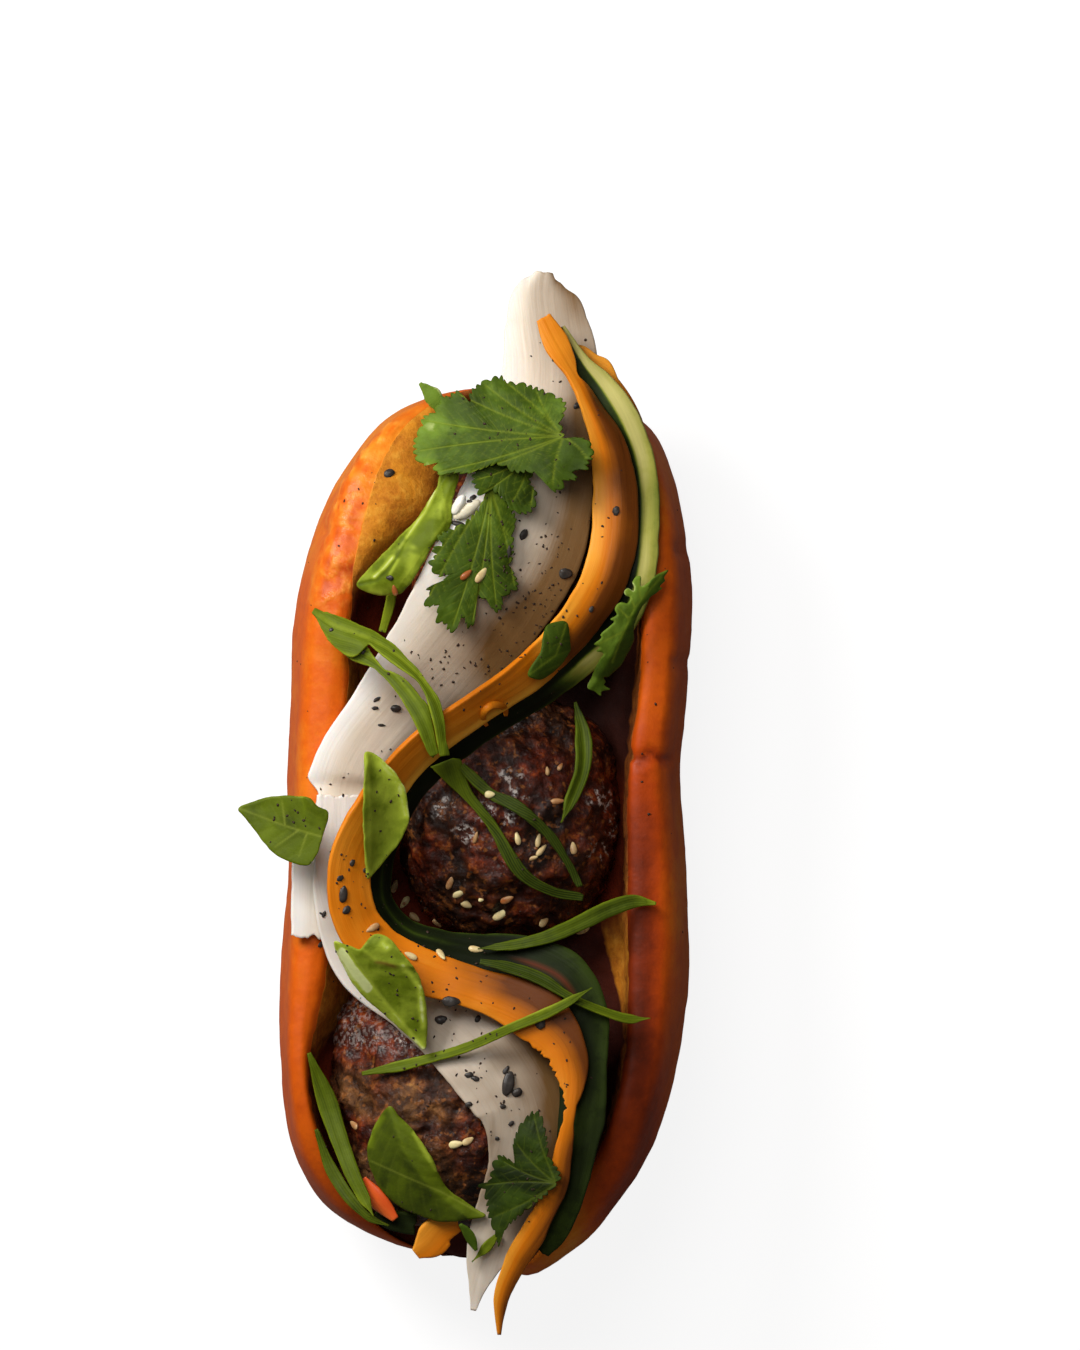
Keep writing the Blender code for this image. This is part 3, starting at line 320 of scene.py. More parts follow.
PAINTED_GLINTS = {   # painted highlights of the single leaves: their course in pixels, width in millimetres and strength
    "basil_top": ((((437, 488), (425, 512), (405, 540), (398, 552)), 0.30, 0.40),
                  (((396, 554), (384, 568), (371, 580)), 0.45, 0.42), (((441, 500), (440, 522)), 0.4, 0.15),
                  (((432, 546), (423, 563)), 0.8, 0.22), (((415, 543), (412, 552)), 0.7, 0.22),
                  (((418, 552), (412, 566), (404, 588)), 1.2, 0.20), (((400, 556), (388, 578)), 0.35, 0.30),
                  (((366, 590), (386, 594)), 0.5, 0.20), (((450, 500), (449, 524)), 0.7, 0.15)),
    "basil_mid": ((((340, 945), (352, 966), (372, 992)), 0.8, 0.40),
                  (((400, 960), (420, 985), (424, 1030)), 0.6, 0.35),
                  (((380, 938), (392, 950)), 0.8, 0.30)),
    "basil_bottom": ((((386, 1112), (374, 1128), (369, 1150)), 0.7, 0.30), (((412, 1128), (438, 1172)), 0.6, 0.30)),
    "basil_fold": ((((378, 758), (400, 785), (406, 820)), 0.9, 0.20),),
}

# Seeds and pepper, as pixels of the photograph.
SESAME_SEEDS = (
    (404, 903), (373, 927), (411, 955), (441, 954), (583, 931), (476, 949), (355, 1125),
)
TURNED_SEEDS = (   # x, y, length and width in millimetres, direction in degrees, how brown
    (481, 575, 3.4, 1.8, 52, 0.05), (466, 575, 2.6, 1.5, 40, 0.60), (395, 590, 2.2, 1.3, 100, 0.55),
    (501, 914, 3.5, 1.9, 35, -0.05), (543, 922, 2.3, 1.9, 30, 0.16), (459, 893, 2.6, 1.6, 25, -0.10),
    (466, 904, 2.3, 1.7, -30, 0.08), (450, 882, 2.8, 1.5, 68, 0.32), (481, 899, 1.0, 0.9, 0, -0.05),
    (414, 918, 2.3, 1.5, -40, 0.24), (437, 923, 2.3, 1.4, -55, 0.22), (394, 887, 2.6, 1.4, 70, 0.20),
    (404, 903, 1.6, 1.1, 60, 0.34), (490, 794, 1.9, 1.7, 0, -0.10), (517, 838, 2.6, 1.4, 100, 0.02),
    (538, 840, 2.6, 1.3, 78, 0.06), (533, 857, 1.9, 1.1, 20, 0.16), (541, 850, 2.8, 1.3, 48, 0.08),
    (573, 848, 2.4, 1.6, 95, 0.18), (547, 771, 1.7, 1.0, 95, 0.30), (560, 767, 1.6, 1.1, 60, 0.34),
    (476, 837, 2.4, 1.1, 70, 0.34), (557, 801, 2.6, 1.4, 5, 0.40), (456, 1143, 2.9, 1.8, 10, -0.02),
    (468, 1140, 2.4, 1.6, 30, 0.04), (507, 899, 2.6, 1.7, 25, 0.42), (585, 929, 1.6, 1.0, 100, 0.15),
)
BLACK_SEEDS = (   # x, y, length and width in millimetres, direction in degrees
    (508, 1083, 4.6, 2.3, 80), (517, 1091, 1.9, 1.6, 30), (506, 1069, 1.6, 0.9, 60), (451, 1000, 3.3, 2.0, 5),
    (441, 1019, 2.3, 1.8, 0), (478, 1018, 1.5, 1.0, 70), (469, 1074, 1.5, 1.1, 10), (475, 1077, 1.4, 1.0, 160),
    (469, 1103, 1.4, 1.1, 20), (540, 1022, 2.3, 1.8, 95), (344, 893, 3.0, 1.8, 85), (347, 909, 1.7, 1.3, 60),
    (324, 914, 1.3, 0.8, 70), (321, 944, 1.4, 0.9, 40), (565, 573, 2.5, 2.0, 0), (523, 535, 2.2, 1.5, 60),
    (503, 1105, 1.1, 0.9, 0), (511, 1122, 1.2, 0.9, 30), (497, 1137, 0.9, 0.7, 0), (377, 699, 1.4, 0.7, 30),
    (375, 708, 1.2, 0.7, 0),
    (396, 708, 1.8, 1.4, 0), (381, 725, 1.4, 0.5, 0), (389, 473, 2.0, 1.5, 30), (616, 511, 1.7, 1.3, 60),
    (578, 405, 1.7, 1.2, 30), (353, 862, 1.4, 1.0, 60), (366, 870, 1.2, 1.0, 0), (341, 877, 1.5, 1.0, 30),
    (390, 578, 1.4, 1.0, 0), (591, 609, 1.2, 0.8, 70), (458, 524, 2.9, 1.1, -15), (473, 498, 1.5, 0.9, 30),
    (470, 502, 1.2, 0.8, -20), (363, 652, 1.2, 1.0, 0), (332, 630, 0.9, 0.7, 20), (509, 552, 2.2, 0.9, 85),
)
PEPPER_CLOUDS = (   # x, y, spread across and along in pixels, how many flecks
    (540, 590, 26, 52, 60), (500, 425, 60, 28, 24), (487, 560, 34, 46, 34), (500, 650, 40, 34, 42),
    (545, 520, 22, 40, 16), (440, 660, 30, 26, 14), (600, 500, 14, 70, 12), (375, 480, 40, 60, 12),
    (345, 790, 24, 24, 8), (350, 900, 22, 50, 22), (470, 1040, 50, 40, 30), (500, 1100, 36, 40, 26),
    (385, 800, 14, 34, 8), (395, 985, 30, 40, 12), (290, 825, 30, 24, 14), (420, 900, 40, 50, 40),
    (520, 860, 60, 70, 40), (470, 980, 50, 20, 14), (420, 1170, 40, 50, 12), (560, 1050, 20, 60, 12),
    (520, 1170, 20, 30, 8), (395, 650, 40, 34, 12), (430, 1090, 40, 50, 24), (335, 430, 30, 60, 8),
    (550, 370, 30, 40, 8), (660, 650, 14, 200, 12), (300, 700, 12, 200, 10),
)


# ---------------------------------------------------------------- curves and patterns

def smooth(knots, values, at):
    """A curve through the values at the knots, with the slope of its neighbours at each knot."""
    slopes = np.gradient(values, knots)
    index = np.clip(np.searchsorted(knots, at, side="right") - 1, 0, len(knots) - 2)
    span = knots[index + 1] - knots[index]
    t = (at - knots[index]) / span
    ahead = t * t * (3 - 2 * t)
    return (values[index] * (1 - ahead) + values[index + 1] * ahead
            + span * t * (1 - t) * ((1 - t) * slopes[index] - t * slopes[index + 1]))


def fade(value, none, full):
    """0 at none, 1 at full and smooth between them, whichever of the two is higher."""
    t = np.clip((np.asarray(value, float) - none) / (full - none), 0, 1)
    return t * t * (3 - 2 * t)


def within(value, none, full, still_full, gone):
    """1 from full to still_full, and fading to 0 on either side."""
    return fade(value, none, full) * fade(value, gone, still_full)


def peak(value, middle, width):
    """1 in the middle and less beside it, as a bell of the given width."""
    return np.exp(-((np.asarray(value, float) - middle) / width) ** 2)


def patches(table, **measures):
    """The sum of a table's patches: each has its strength, and for every measure that bounds it the name of the
    measure, where the patch is 0 and where it is full."""
    total = 0.0
    for strength, *bounds in table:
        patch = strength
        for measure, none, full in bounds:
            patch = patch * fade(measures[measure], none, full)
        total = total + patch
    return total


def stacked(*parts):
    """Places from the arrays or numbers of their coordinates."""
    return np.stack(np.broadcast_arrays(*parts), axis=-1)


def waves(points, size, octaves, shift=0.0):
    """Smooth noise from about -1 to 1 at each point, with waves of the given size."""
    offset = Vector((shift, 0.7 * shift, 0.3 * shift))
    flat = np.asarray(points, float).reshape(-1, 3) / size
    values = [noise.fractal(Vector(place) + offset, 1.0, 2.0, octaves) for place in flat]
    return np.array(values).reshape(np.shape(points)[:-1])


def blurred(values, width):
    """The values along the first axis, softened over a width in rows."""
    reach = int(3 * width) + 1
    kernel = np.exp(-0.5 * (np.arange(-reach, reach + 1) / width) ** 2)
    kernel /= kernel.sum()
    padded = np.pad(values, [(reach, reach)] + [(0, 0)] * (values.ndim - 1), mode="edge")
    return np.apply_along_axis(lambda line: np.convolve(line, kernel, mode="valid"), 0, padded)


def from_ends(count):
    """How many rows each row is from the nearer end."""
    rows = np.arange(count)
    return np.minimum(rows, count - 1 - rows)


def rounded(outline, fine):
    """A closed outline with fine points on each of its sides, on a curve through its corners."""
    before, after, next_after = (np.roll(outline, shift, axis=0) for shift in (1, -1, -2))
    rows = []
    for t in np.arange(fine) / fine:
        rows.append(0.5 * (2 * outline + (after - before) * t
                           + (2 * before - 5 * outline + 4 * after - next_after) * t ** 2
                           + (3 * outline - before - 3 * after + next_after) * t ** 3))
    return np.stack(rows, axis=1).reshape(-1, 2)


# ---------------------------------------------------------------- meshes

SKY = 200.0              # the height that rays fall from
OUTLINE_FINE = 8         # points on each side of an outline from the photograph
dressed = []             # (points, faces) of every piece made so far, for what lies on them


def quads(rows, columns, start=0, wrap=False):
    """The faces of a grid of points."""
    index = start + np.arange(rows * columns).reshape(rows, columns)
    if wrap:
        index = np.concatenate((index, index[:, :1]), axis=1)
    return np.stack((index[:-1, :-1], index[1:, :-1], index[1:, 1:], index[:-1, 1:]), axis=2).reshape(-1, 4)


def tube(rows, columns):
    """The faces of a closed grid of points, and of its two ends."""
    ends = [tuple(range(columns)), tuple(range((rows - 1) * columns, rows * columns))]
    return list(quads(rows, columns, wrap=True)), ends


def ball(detail):
    """The points and triangles of a ball of radius 1."""
    shape = bmesh.new()
    bmesh.ops.create_icosphere(shape, subdivisions=detail, radius=1.0)
    shape.verts.index_update()
    points = np.array([corner.co[:] for corner in shape.verts])
    faces = [[corner.index for corner in face.verts] for face in shape.faces]
    shape.free()
    return points, faces


def merged(shapes):
    """Many shapes, each with its points and faces, as one."""
    faces, start = [], 0
    for points, own_faces in shapes:
        faces += [[corner + start for corner in face] for face in own_faces]
        start += len(points)
    return np.concatenate([points for points, _ in shapes]), faces


def linked(name, data):
    """A new object in the scene."""
    thing = bpy.data.objects.new(name, data)
    bpy.context.collection.objects.link(thing)
    return thing


def make(name, points, faces, slot, replaced=(), look=None, **layers):
    """A smooth piece of the object, with a value or a vector at each of its points for each layer."""
    mesh = bpy.data.meshes.new(name)
    faces = [[int(corner) for corner in face] for face in faces]
    mesh.from_pydata((np.asarray(points) * MM).tolist(), [], faces)
    mesh.validate()
    mesh.shade_smooth()
    for layer, values in layers.items():
        values = np.asarray(values, np.float32)
        vector = values.ndim == 2
        attribute = mesh.attributes.new(layer, "FLOAT_VECTOR" if vector else "FLOAT", "POINT")
        attribute.data.foreach_set("vector" if vector else "value", values.ravel())
    mesh.materials.append(LOOKS[look or slot])
    piece = linked(name, mesh)
    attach(piece, "root")
    if replaced:
        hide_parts(*replaced)
    dressed.append((np.asarray(points), faces))


def solid_tree(node):
    """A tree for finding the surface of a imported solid, in millimetres."""
    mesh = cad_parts[node].data
    mesh.calc_loop_triangles()
    points = [corner.co / MM for corner in mesh.vertices]
    return BVHTree.FromPolygons(points, [triangle.vertices[:] for triangle in mesh.loop_triangles])


def top_tree():
    """A tree of every piece made so far."""
    points, faces = merged(dressed)
    return BVHTree.FromPolygons(points.tolist(), faces)


def landing(tree, x, y):
    """The topmost surface at a place: where it is and its upward direction, or None beside it."""
    hit, normal, _, _ = tree.ray_cast(Vector((x, y, SKY)), Vector((0, 0, -1)))
    if hit is None:
        return None
    return hit, -normal if normal.z < 0 else normal


def heights(tree, x, y):
    """The height of the topmost surface at each place, and nan beside it."""
    found = [landing(tree, *place) for place in zip(np.ravel(x), np.ravel(y))]
    return np.array([place[0].z if place else np.nan for place in found]).reshape(np.shape(x))


def placed(shape, hit, normal, direction, sink):
    """A small shape's points, lying on a surface with its long side turned to a direction in degrees."""
    up = Vector((0, 0, 1))
    lean = normal.lerp(up, 0.3).normalized()
    way = np.array(up.rotation_difference(lean).to_matrix() @ Matrix.Rotation(math.radians(direction), 3, "Z"))
    return shape @ way.T + np.array(hit) + np.array(lean) * sink


def joined(name, lumps, slot, look, replaced=()):
    """Many small shapes, each with its tone, as one piece."""
    points, faces = merged([lump[:2] for lump in lumps])
    tone = np.concatenate([np.full(len(shape), shade) for shape, _, shade in lumps])
    make(name, points, faces, slot, replaced, look, tone=tone)


# ---------------------------------------------------------------- strips

FINE = 0.45              # spacing of the rows of a ribbon
LEAF_FINE = 0.28         # spacing of the rows of a leaf or blade
EDGE_STEPS = (0.0, 0.10, 0.28)           # distances from a strip's edge of its first columns
EDGE_SINK = (0.38, 0.10, 0.0)            # how far those sink in from either face, as shares of the thickness
PROBES = np.linspace(-0.8, 0.8, 7)       # where across a strip its solid's height is read
LEAST_PROBES = 5         # how many of them have to meet the solid
LEAST_HALF = 0.3         # the least half width of a strip
FACE_REACH = 1.3         # how far a strip's face is followed across, as a share of its half width
BLUR = 1.5               # over how many millimetres its slope and bend are evened out


class Strip:
    """The course of a thin piece along its route, and how its upper face lies, read from its solid."""

    def __init__(self, node, route, thickness, spacing):
        knots = np.array(route, dtype=float)
        knots = np.pad(knots, ((0, 0), (0, 4 - knots.shape[1])))        # a route without rolls lies flat
        far = np.concatenate(((0.0,), np.cumsum(np.hypot(*np.diff(knots[:, :2], axis=0).T))))
        self.along = np.linspace(0.0, far[-1], int(far[-1] / spacing) + 2)
        x, y, half, roll = (smooth(far, knots[:, column], self.along) for column in range(4))
        self.half = np.maximum(half, min(knots[:, 2].min(), LEAST_HALF))
        heading = np.stack((np.gradient(x), np.gradient(y)), axis=1)
        self.heading = heading / np.linalg.norm(heading, axis=1)[:, None]
        self.side = np.stack((-self.heading[:, 1], self.heading[:, 0]), axis=1)
        tree = solid_tree(node)
        turn = np.radians(roll)
        width = BLUR / spacing
        for _ in range(2):
            shift = -thickness / 2 * np.sin(turn)
            reach = self.half * np.cos(turn)
            middle_x, middle_y = x + self.side[:, 0] * shift, y + self.side[:, 1] * shift
            offset = PROBES[None, :] * reach[:, None]
            found = heights(tree, middle_x[:, None] + self.side[:, :1] * offset,
                            middle_y[:, None] + self.side[:, 1:] * offset)
            self.shape = blurred(self.fitted(found), width)
            turn = np.arctan(self.shape[:, 1] / np.maximum(reach, LEAST_HALF))
        self.middle = np.stack((middle_x, middle_y), axis=1)
        self.flatness = np.cos(turn)
        wide = np.maximum(self.half, 1.0)
        self.slope = blurred(self.shape[:, 1] / wide, width)
        self.bend = blurred(self.shape[:, 2] / wide ** 2, width)

    def fitted(self, found):
        """For each row the height, slope and bend across it, by the solid's heights at the probes."""
        powers = np.stack((np.ones_like(PROBES), PROBES, PROBES ** 2), axis=1)
        rows = np.full((len(found), 3), np.nan)
        for index, line in enumerate(found):
            known = ~np.isnan(line)
            if known.sum() >= LEAST_PROBES:
                rows[index] = np.linalg.lstsq(powers[known], line[known], rcond=None)[0]
        good = ~np.isnan(rows[:, 0])
        places = np.arange(len(rows))
        return np.stack([np.interp(places, places[good], rows[good, column]) for column in range(3)], axis=1)

    def rise(self, across, half, level, slope, bend):
        """The height of the face at distances across it."""
        most = FACE_REACH * np.maximum(half, 1.0)
        beside = np.clip(across, -most, most)
        return level + slope * beside + bend * beside ** 2

    def locate(self, flat):
        """How far along and across the strip places are, its height there and its half width."""
        row = np.linalg.norm(flat[:, None, :] - self.middle[None, :, :], axis=2).argmin(axis=1)
        off = flat - self.middle[row]
        side = self.side[row]
        along = self.along[row] + off[:, 0] * side[:, 1] - off[:, 1] * side[:, 0]
        half, flatness, level, slope, bend = (np.interp(along, self.along, values) for values in (
            self.half, self.flatness, self.shape[:, 0], self.slope, self.bend))
        across = (off * side).sum(axis=1) / flatness
        return along, across, self.rise(across, half, level, slope, bend), half

    def face(self, left, right, columns):
        """Points of the upper face, how far along and across it they are, and the share of the half width."""
        narrow = np.minimum(1.0, (left + right) / 3.0)[:, None]
        inner = EDGE_STEPS[-1] * narrow
        steps = np.linspace(0, 1, columns)[None, :]
        across = -right[:, None] + inner + steps * (left[:, None] + right[:, None] - 2 * inner)
        rim = np.array(EDGE_STEPS[:-1])[None, :] * narrow
        across = np.concatenate((-right[:, None] + rim, across, left[:, None] - rim[:, ::-1]), axis=1)
        flat = self.middle[:, None, :] + self.side[:, None, :] * (across * self.flatness[:, None])[:, :, None]
        height = self.rise(across, self.half[:, None], self.shape[:, :1], self.slope[:, None], self.bend[:, None])
        along = np.broadcast_to(self.along[:, None], across.shape)
        return np.concatenate((flat, height[:, :, None]), axis=2), along, across, across / self.half[:, None]


def thick(grid, thickness, relief=0.0, wave=0.0):
    """A closed skin round a face: wave moves both of its sides and relief the upper one."""
    rows, columns = grid.shape[:2]
    normal = np.cross(np.gradient(grid, axis=0), np.gradient(grid, axis=1))
    normal /= np.maximum(np.linalg.norm(normal, axis=2), 1e-9)[:, :, None]
    grid = grid + normal * (np.zeros((rows, columns)) + wave)[:, :, None]
    sink = np.zeros(columns)
    sink[:len(EDGE_SINK)] = EDGE_SINK
    sink[-len(EDGE_SINK):] = EDGE_SINK[::-1]
    sink = sink * thickness
    upper = grid + normal * (relief - sink[None, :] + np.zeros((rows, columns)))[:, :, None]
    lower = grid - normal * (thickness - sink[None, :])[:, :, None]
    points = np.concatenate((upper.reshape(-1, 3), lower.reshape(-1, 3)))
    under = rows * columns
    index = np.arange(under).reshape(rows, columns)
    rim = np.concatenate((index[0, :], index[1:, -1], index[-1, -2::-1], index[-2:0:-1, 0]))
    ahead = np.roll(rim, -1)
    sides = np.stack((rim, ahead, under + ahead, under + rim), axis=1)
    return points, np.concatenate((quads(rows, columns), quads(rows, columns, under)[:, ::-1], sides))


# ---------------------------------------------------------------- materials

def rgb(red, green, blue):
    """A colour given as 0 to 255 on screen."""
    def linear(channel):
        share = channel / 255
        return share / 12.92 if share <= 0.04045 else ((share + 0.055) / 1.055) ** 2.4

    return linear(red), linear(green), linear(blue), 1.0


class Look:
    """One procedural material: a Principled shader and the nodes that feed it."""

    def __init__(self, name, roughness=0.45, coat=0.0, coat_roughness=0.2, subsurface=0.0, specular=0.3):
        self.material = bpy.data.materials.new(name)
        self.material.use_nodes = True
        self.tree = self.material.node_tree
        self.shader = self.tree.nodes["Principled BSDF"]
        self.feed(**{"Roughness": roughness, "Coat Weight": coat, "Coat Roughness": coat_roughness,
                     "Specular IOR Level": specular, "Subsurface Weight": subsurface,
                     "Subsurface Radius": (0.004, 0.0025, 0.0015)})
        self.place = self.node("TexCoord", "Object")

    def put(self, socket, value):
        """Links a socket to what another node gives, or sets its value."""
        if isinstance(value, bpy.types.NodeSocket):
            self.tree.links.new(value, socket)
        else:
            socket.default_value = value

    def feed(self, **values):
        """Sets inputs of the shader to values or to what nodes give."""
        for name, value in values.items():
            self.put(self.shader.inputs[name], value)

    def node(self, kind, output, inputs=None, **settings):
        """What a new node gives, with its settings and its inputs by name or number."""
        node = self.tree.nodes.new("ShaderNode" + kind)
        for name, setting in settings.items():
            setattr(node, name, setting)
        for name, value in (inputs or {}).items():
            self.put(node.inputs[name], value)
        return node.outputs[output]

    def layer(self, name, kind="Fac"):
        """A value, or with kind Vector a vector, that the mesh holds at its points."""
        return self.node("Attribute", kind, attribute_name=name)

    def fibres(self, *stretch):
        """Noise that is stretched along a ribbon's course."""
        course = self.node("VectorMath", 0, {0: self.layer("course", "Vector"), 1: stretch}, operation="MULTIPLY")
        return self.noise(1.0, 5.0, 0.6, vector=course)

    def noise(self, scale, detail, roughness, distortion=0.0, vector=None):
        return self.node("TexNoise", "Fac", {"Vector": vector or self.place, "Scale": scale, "Detail": detail,
                                             "Roughness": roughness, "Distortion": distortion})

    def ramp(self, value, *stops):
        """Colours, as 0 to 255 on screen, or shades given as one number, by a value."""
        output = self.node("ValToRGB", "Color", {"Fac": value})
        elements = output.node.color_ramp.elements
        while len(elements) < len(stops):
            elements.new(0.5)
        for element, (position, *colour) in zip(elements, stops):
            element.position = position
            element.color = rgb(*colour) if len(colour) == 3 else (*colour * 3, 1.0)
        return output

    def mask(self, value, none, full):
        """0 where the value is up to none, and 1 from full on."""
        return self.ramp(value, (none, 0.0), (full, 1.0))

    def math(self, operation, first, second):
        return self.node("Math", 0, {0: first, 1: second}, operation=operation, use_clamp=True)

    def varied(self, value, pattern, middle, strength):
        """The value and a share of how far the pattern is above its middle."""
        return self.math("ADD", value, self.math("MULTIPLY", self.math("SUBTRACT", pattern, middle), strength))

    def mix(self, share, first, second, blend="MIX"):
        return self.node("Mix", 2, {0: share, 6: first, 7: second}, data_type="RGBA", blend_type=blend)

    def bump(self, height, distance, strength, below=None):
        """Relief of a depth given in millimetres."""
        inputs = {"Strength": strength, "Distance": distance * MM, "Height": height}
        return self.node("Bump", "Normal", {**inputs, "Normal": below} if below else inputs)

    def finish(self, colour, normal, **others):
        """The finished material, with its colour, its relief and further inputs of the shader."""
        self.feed(**{"Base Color": colour, "Normal": normal, "Coat Normal": normal, **others})
        return self.material


def crust_look():
    """Egg-washed crust by its layer tone, golden to deep brown with painted shade and light; toasted crumb by cut;
    sauce and painted shade deep in the cut, a painted shadow in its gaps, and painted highlights on the blisters.
    """
    look = Look("crust", 0.50, coat=0.05, coat_roughness=0.22, specular=0.18)
    blotches, mottle, grain = look.noise(70.0, 5.0, 0.6), look.noise(260.0, 6.0, 0.65), look.noise(900.0, 3.0, 0.7)
    tone = look.varied(look.varied(look.layer("tone"), blotches, 0.35, 0.35), mottle, 0.42, 0.35)
    crust = look.ramp(tone, (0.0, 252, 180, 68), (0.18, 242, 138, 28), (0.38, 224, 98, 8), (0.60, 190, 70, 8),
                      (0.82, 134, 46, 11), (1.0, 88, 30, 11))
    crust = look.mix(0.25, crust, look.ramp(grain, (0.3, 0.75), (0.6, 1.0)), "MULTIPLY")
    # Painted highlights: a pale colour on the blisters of the wrinkled crust.
    blisters = look.mask(look.noise(420.0, 3.0, 0.5), 0.46, 0.68)
    blisters = look.math("MULTIPLY", look.layer("blister"), blisters)
    crust = look.mix(look.math("MULTIPLY", blisters, 0.6), crust, rgb(255, 182, 72))
    pores, toast = look.noise(420.0, 6.0, 0.7), look.noise(150.0, 4.0, 0.6)

    def crumb(*shades):
        return look.ramp(pores, *((position, *shade) for position, shade in zip((0.30, 0.5, 0.7), shades)))

    light = crumb((196, 116, 22), (224, 144, 34), (240, 172, 60))
    darker = crumb((160, 88, 20), (196, 116, 28), (220, 144, 44))
    toasted = crumb((92, 44, 16), (138, 72, 24), (170, 100, 36))
    inside = look.mix(look.mask(toast, 0.35, 0.65), light, darker)
    inside = look.mix(look.layer("toast"), inside, toasted)
    cut = look.mask(look.varied(look.layer("cut"), toast, 0.5, 0.8), 0.45, 0.55)
    # Sauce with painted shade, deep in the cut.
    stain = look.mask(look.varied(look.layer("stain"), toast, 0.5, 0.7), 0.35, 0.65)
    sauce_and_shade_colour = look.ramp(blotches, (0.35, 74, 20, 10), (0.65, 132, 46, 14))
    # Painted shadow: near-black where the layer deep marks the gaps.
    sauce_and_shade_colour = look.mix(look.layer("deep"), sauce_and_shade_colour, rgb(34, 14, 9))
    colour = look.mix(stain, look.mix(cut, crust, inside), sauce_and_shade_colour)
    fine = look.bump(look.noise(500.0, 4.0, 0.6), 0.12, 0.7, look.bump(mottle, 0.25, 0.6))
    normal = look.bump(look.math("MULTIPLY", cut, pores), 0.5, 0.8, look.bump(blisters, 0.25, 0.6, fine))
    gloss = look.ramp(look.layer("blister"), (0.0, 0.03), (0.8, 0.16))
    return look.finish(colour, normal, Roughness=look.ramp(cut, (0.0, 0.50), (1.0, 0.75)), **{"Coat Weight": gloss})


def meat_look():
    """Seared meat under a wet glaze; the layer bare is 1 where it isn't glazed, and wet where it shines and where
    painted highlights go.
    """
    look = Look("meat", 0.45, coat=0.35, coat_roughness=0.07, specular=0.2)
    lumps, glaze = look.noise(340.0, 6.0, 0.65, 0.4), look.noise(70.0, 3.0, 0.5)
    pits = look.node("TexVoronoi", "Distance", {"Vector": look.place, "Scale": 520.0})
    seared = look.ramp(lumps, (0.34, 16, 10, 8), (0.47, 38, 21, 14), (0.58, 66, 36, 18), (0.68, 150, 88, 38))
    red = look.ramp(lumps, (0.34, 34, 11, 7), (0.5, 76, 25, 10), (0.60, 124, 46, 14), (0.70, 176, 84, 28))
    bare = look.ramp(lumps, (0.28, 32, 20, 13), (0.44, 80, 50, 28), (0.60, 130, 88, 48), (0.74, 190, 148, 84))
    colour = look.mix(look.mask(glaze, 0.45, 0.62), seared, red)
    colour = look.mix(look.layer("bare"), colour, bare)
    colour = look.mix(look.layer("sauce"), colour, red)
    # Painted shade: darker in the pits.
    colour = look.mix(0.6, colour, look.ramp(pits, (0.0, 0.55), (0.35, 1.0)), "MULTIPLY")
    flecks = look.ramp(look.noise(700.0, 2.0, 0.5), (0.60, 0.0), (0.68, 0.6))
    colour = look.mix(flecks, colour, rgb(160, 96, 42))
    # Painted highlights: small near-white sparkles where the meat is wet.
    painted_sparkles = look.mask(look.noise(1100.0, 3.0, 0.6), 0.50, 0.58)
    wet = look.layer("wet")
    painted_sparkles = look.math("MULTIPLY", painted_sparkles, look.mask(wet, 0.45, 0.8))
    colour = look.mix(painted_sparkles, colour, rgb(206, 196, 188))
    fine = look.bump(look.noise(800.0, 6.0, 0.7), 0.55, 0.9)
    normal = look.bump(pits, 0.60, 0.7, look.bump(lumps, 0.8, 0.6, fine))
    gloss = look.ramp(wet, (0.0, 0.0), (0.25, 0.2), (1.0, 1.0))
    return look.finish(colour, normal, Roughness=look.ramp(lumps, (0.3, 0.28), (0.7, 0.55)), **{
        "Coat Weight": gloss, "Coat Normal": look.bump(look.noise(620.0, 3.0, 0.6), 0.9, 1.0)})


def ribbon_look(name, light, middle, dark, grain=0.30, coat=0.08, roughness=0.45, subsurface=0.12, relief=0.10,
                specular=0.3):
    """A moist cut ribbon with fine grain along it; the layer tone, which holds painted shade and light, turns it
    from its light to its dark shade.
    """
    look = Look(name, roughness, coat, subsurface=subsurface, specular=specular)
    fibres = look.fibres(0.06, 1.4, 0.0)
    tone = look.varied(look.layer("tone"), fibres, 0.5, grain)
    tone = look.varied(tone, look.noise(130.0, 3.0, 0.5), 0.5, grain * 0.8)
    colour = look.ramp(tone, (0.0, *light), (0.5, *middle), (1.0, *dark))
    return look.finish(colour, look.bump(fibres, relief, 0.7))


def cucumber_look():
    """Cucumber: its layer skin runs from 0 on the pale flesh to 1 on the dark skin."""
    look = Look("cucumber", 0.55, coat=0.02, coat_roughness=0.25, subsurface=0.05, specular=0.08)
    fibres = look.fibres(0.08, 1.3, 0.0)
    skin = look.varied(look.layer("skin"), look.noise(420.0, 4.0, 0.6), 0.5, 0.35)
    colour = look.ramp(skin, (0.0, 196, 188, 112), (0.22, 164, 162, 72), (0.45, 110, 122, 40), (0.62, 58, 74, 20),
                       (0.8, 34, 44, 13), (1.0, 20, 26, 10))
    colour = look.mix(look.layer("brown"), colour, rgb(96, 44, 22))
    colour = look.mix(0.4, colour, look.ramp(fibres, (0.3, 0.62), (0.65, 1.0)), "MULTIPLY")
    return look.finish(colour, look.bump(fibres, 0.12, 0.7))


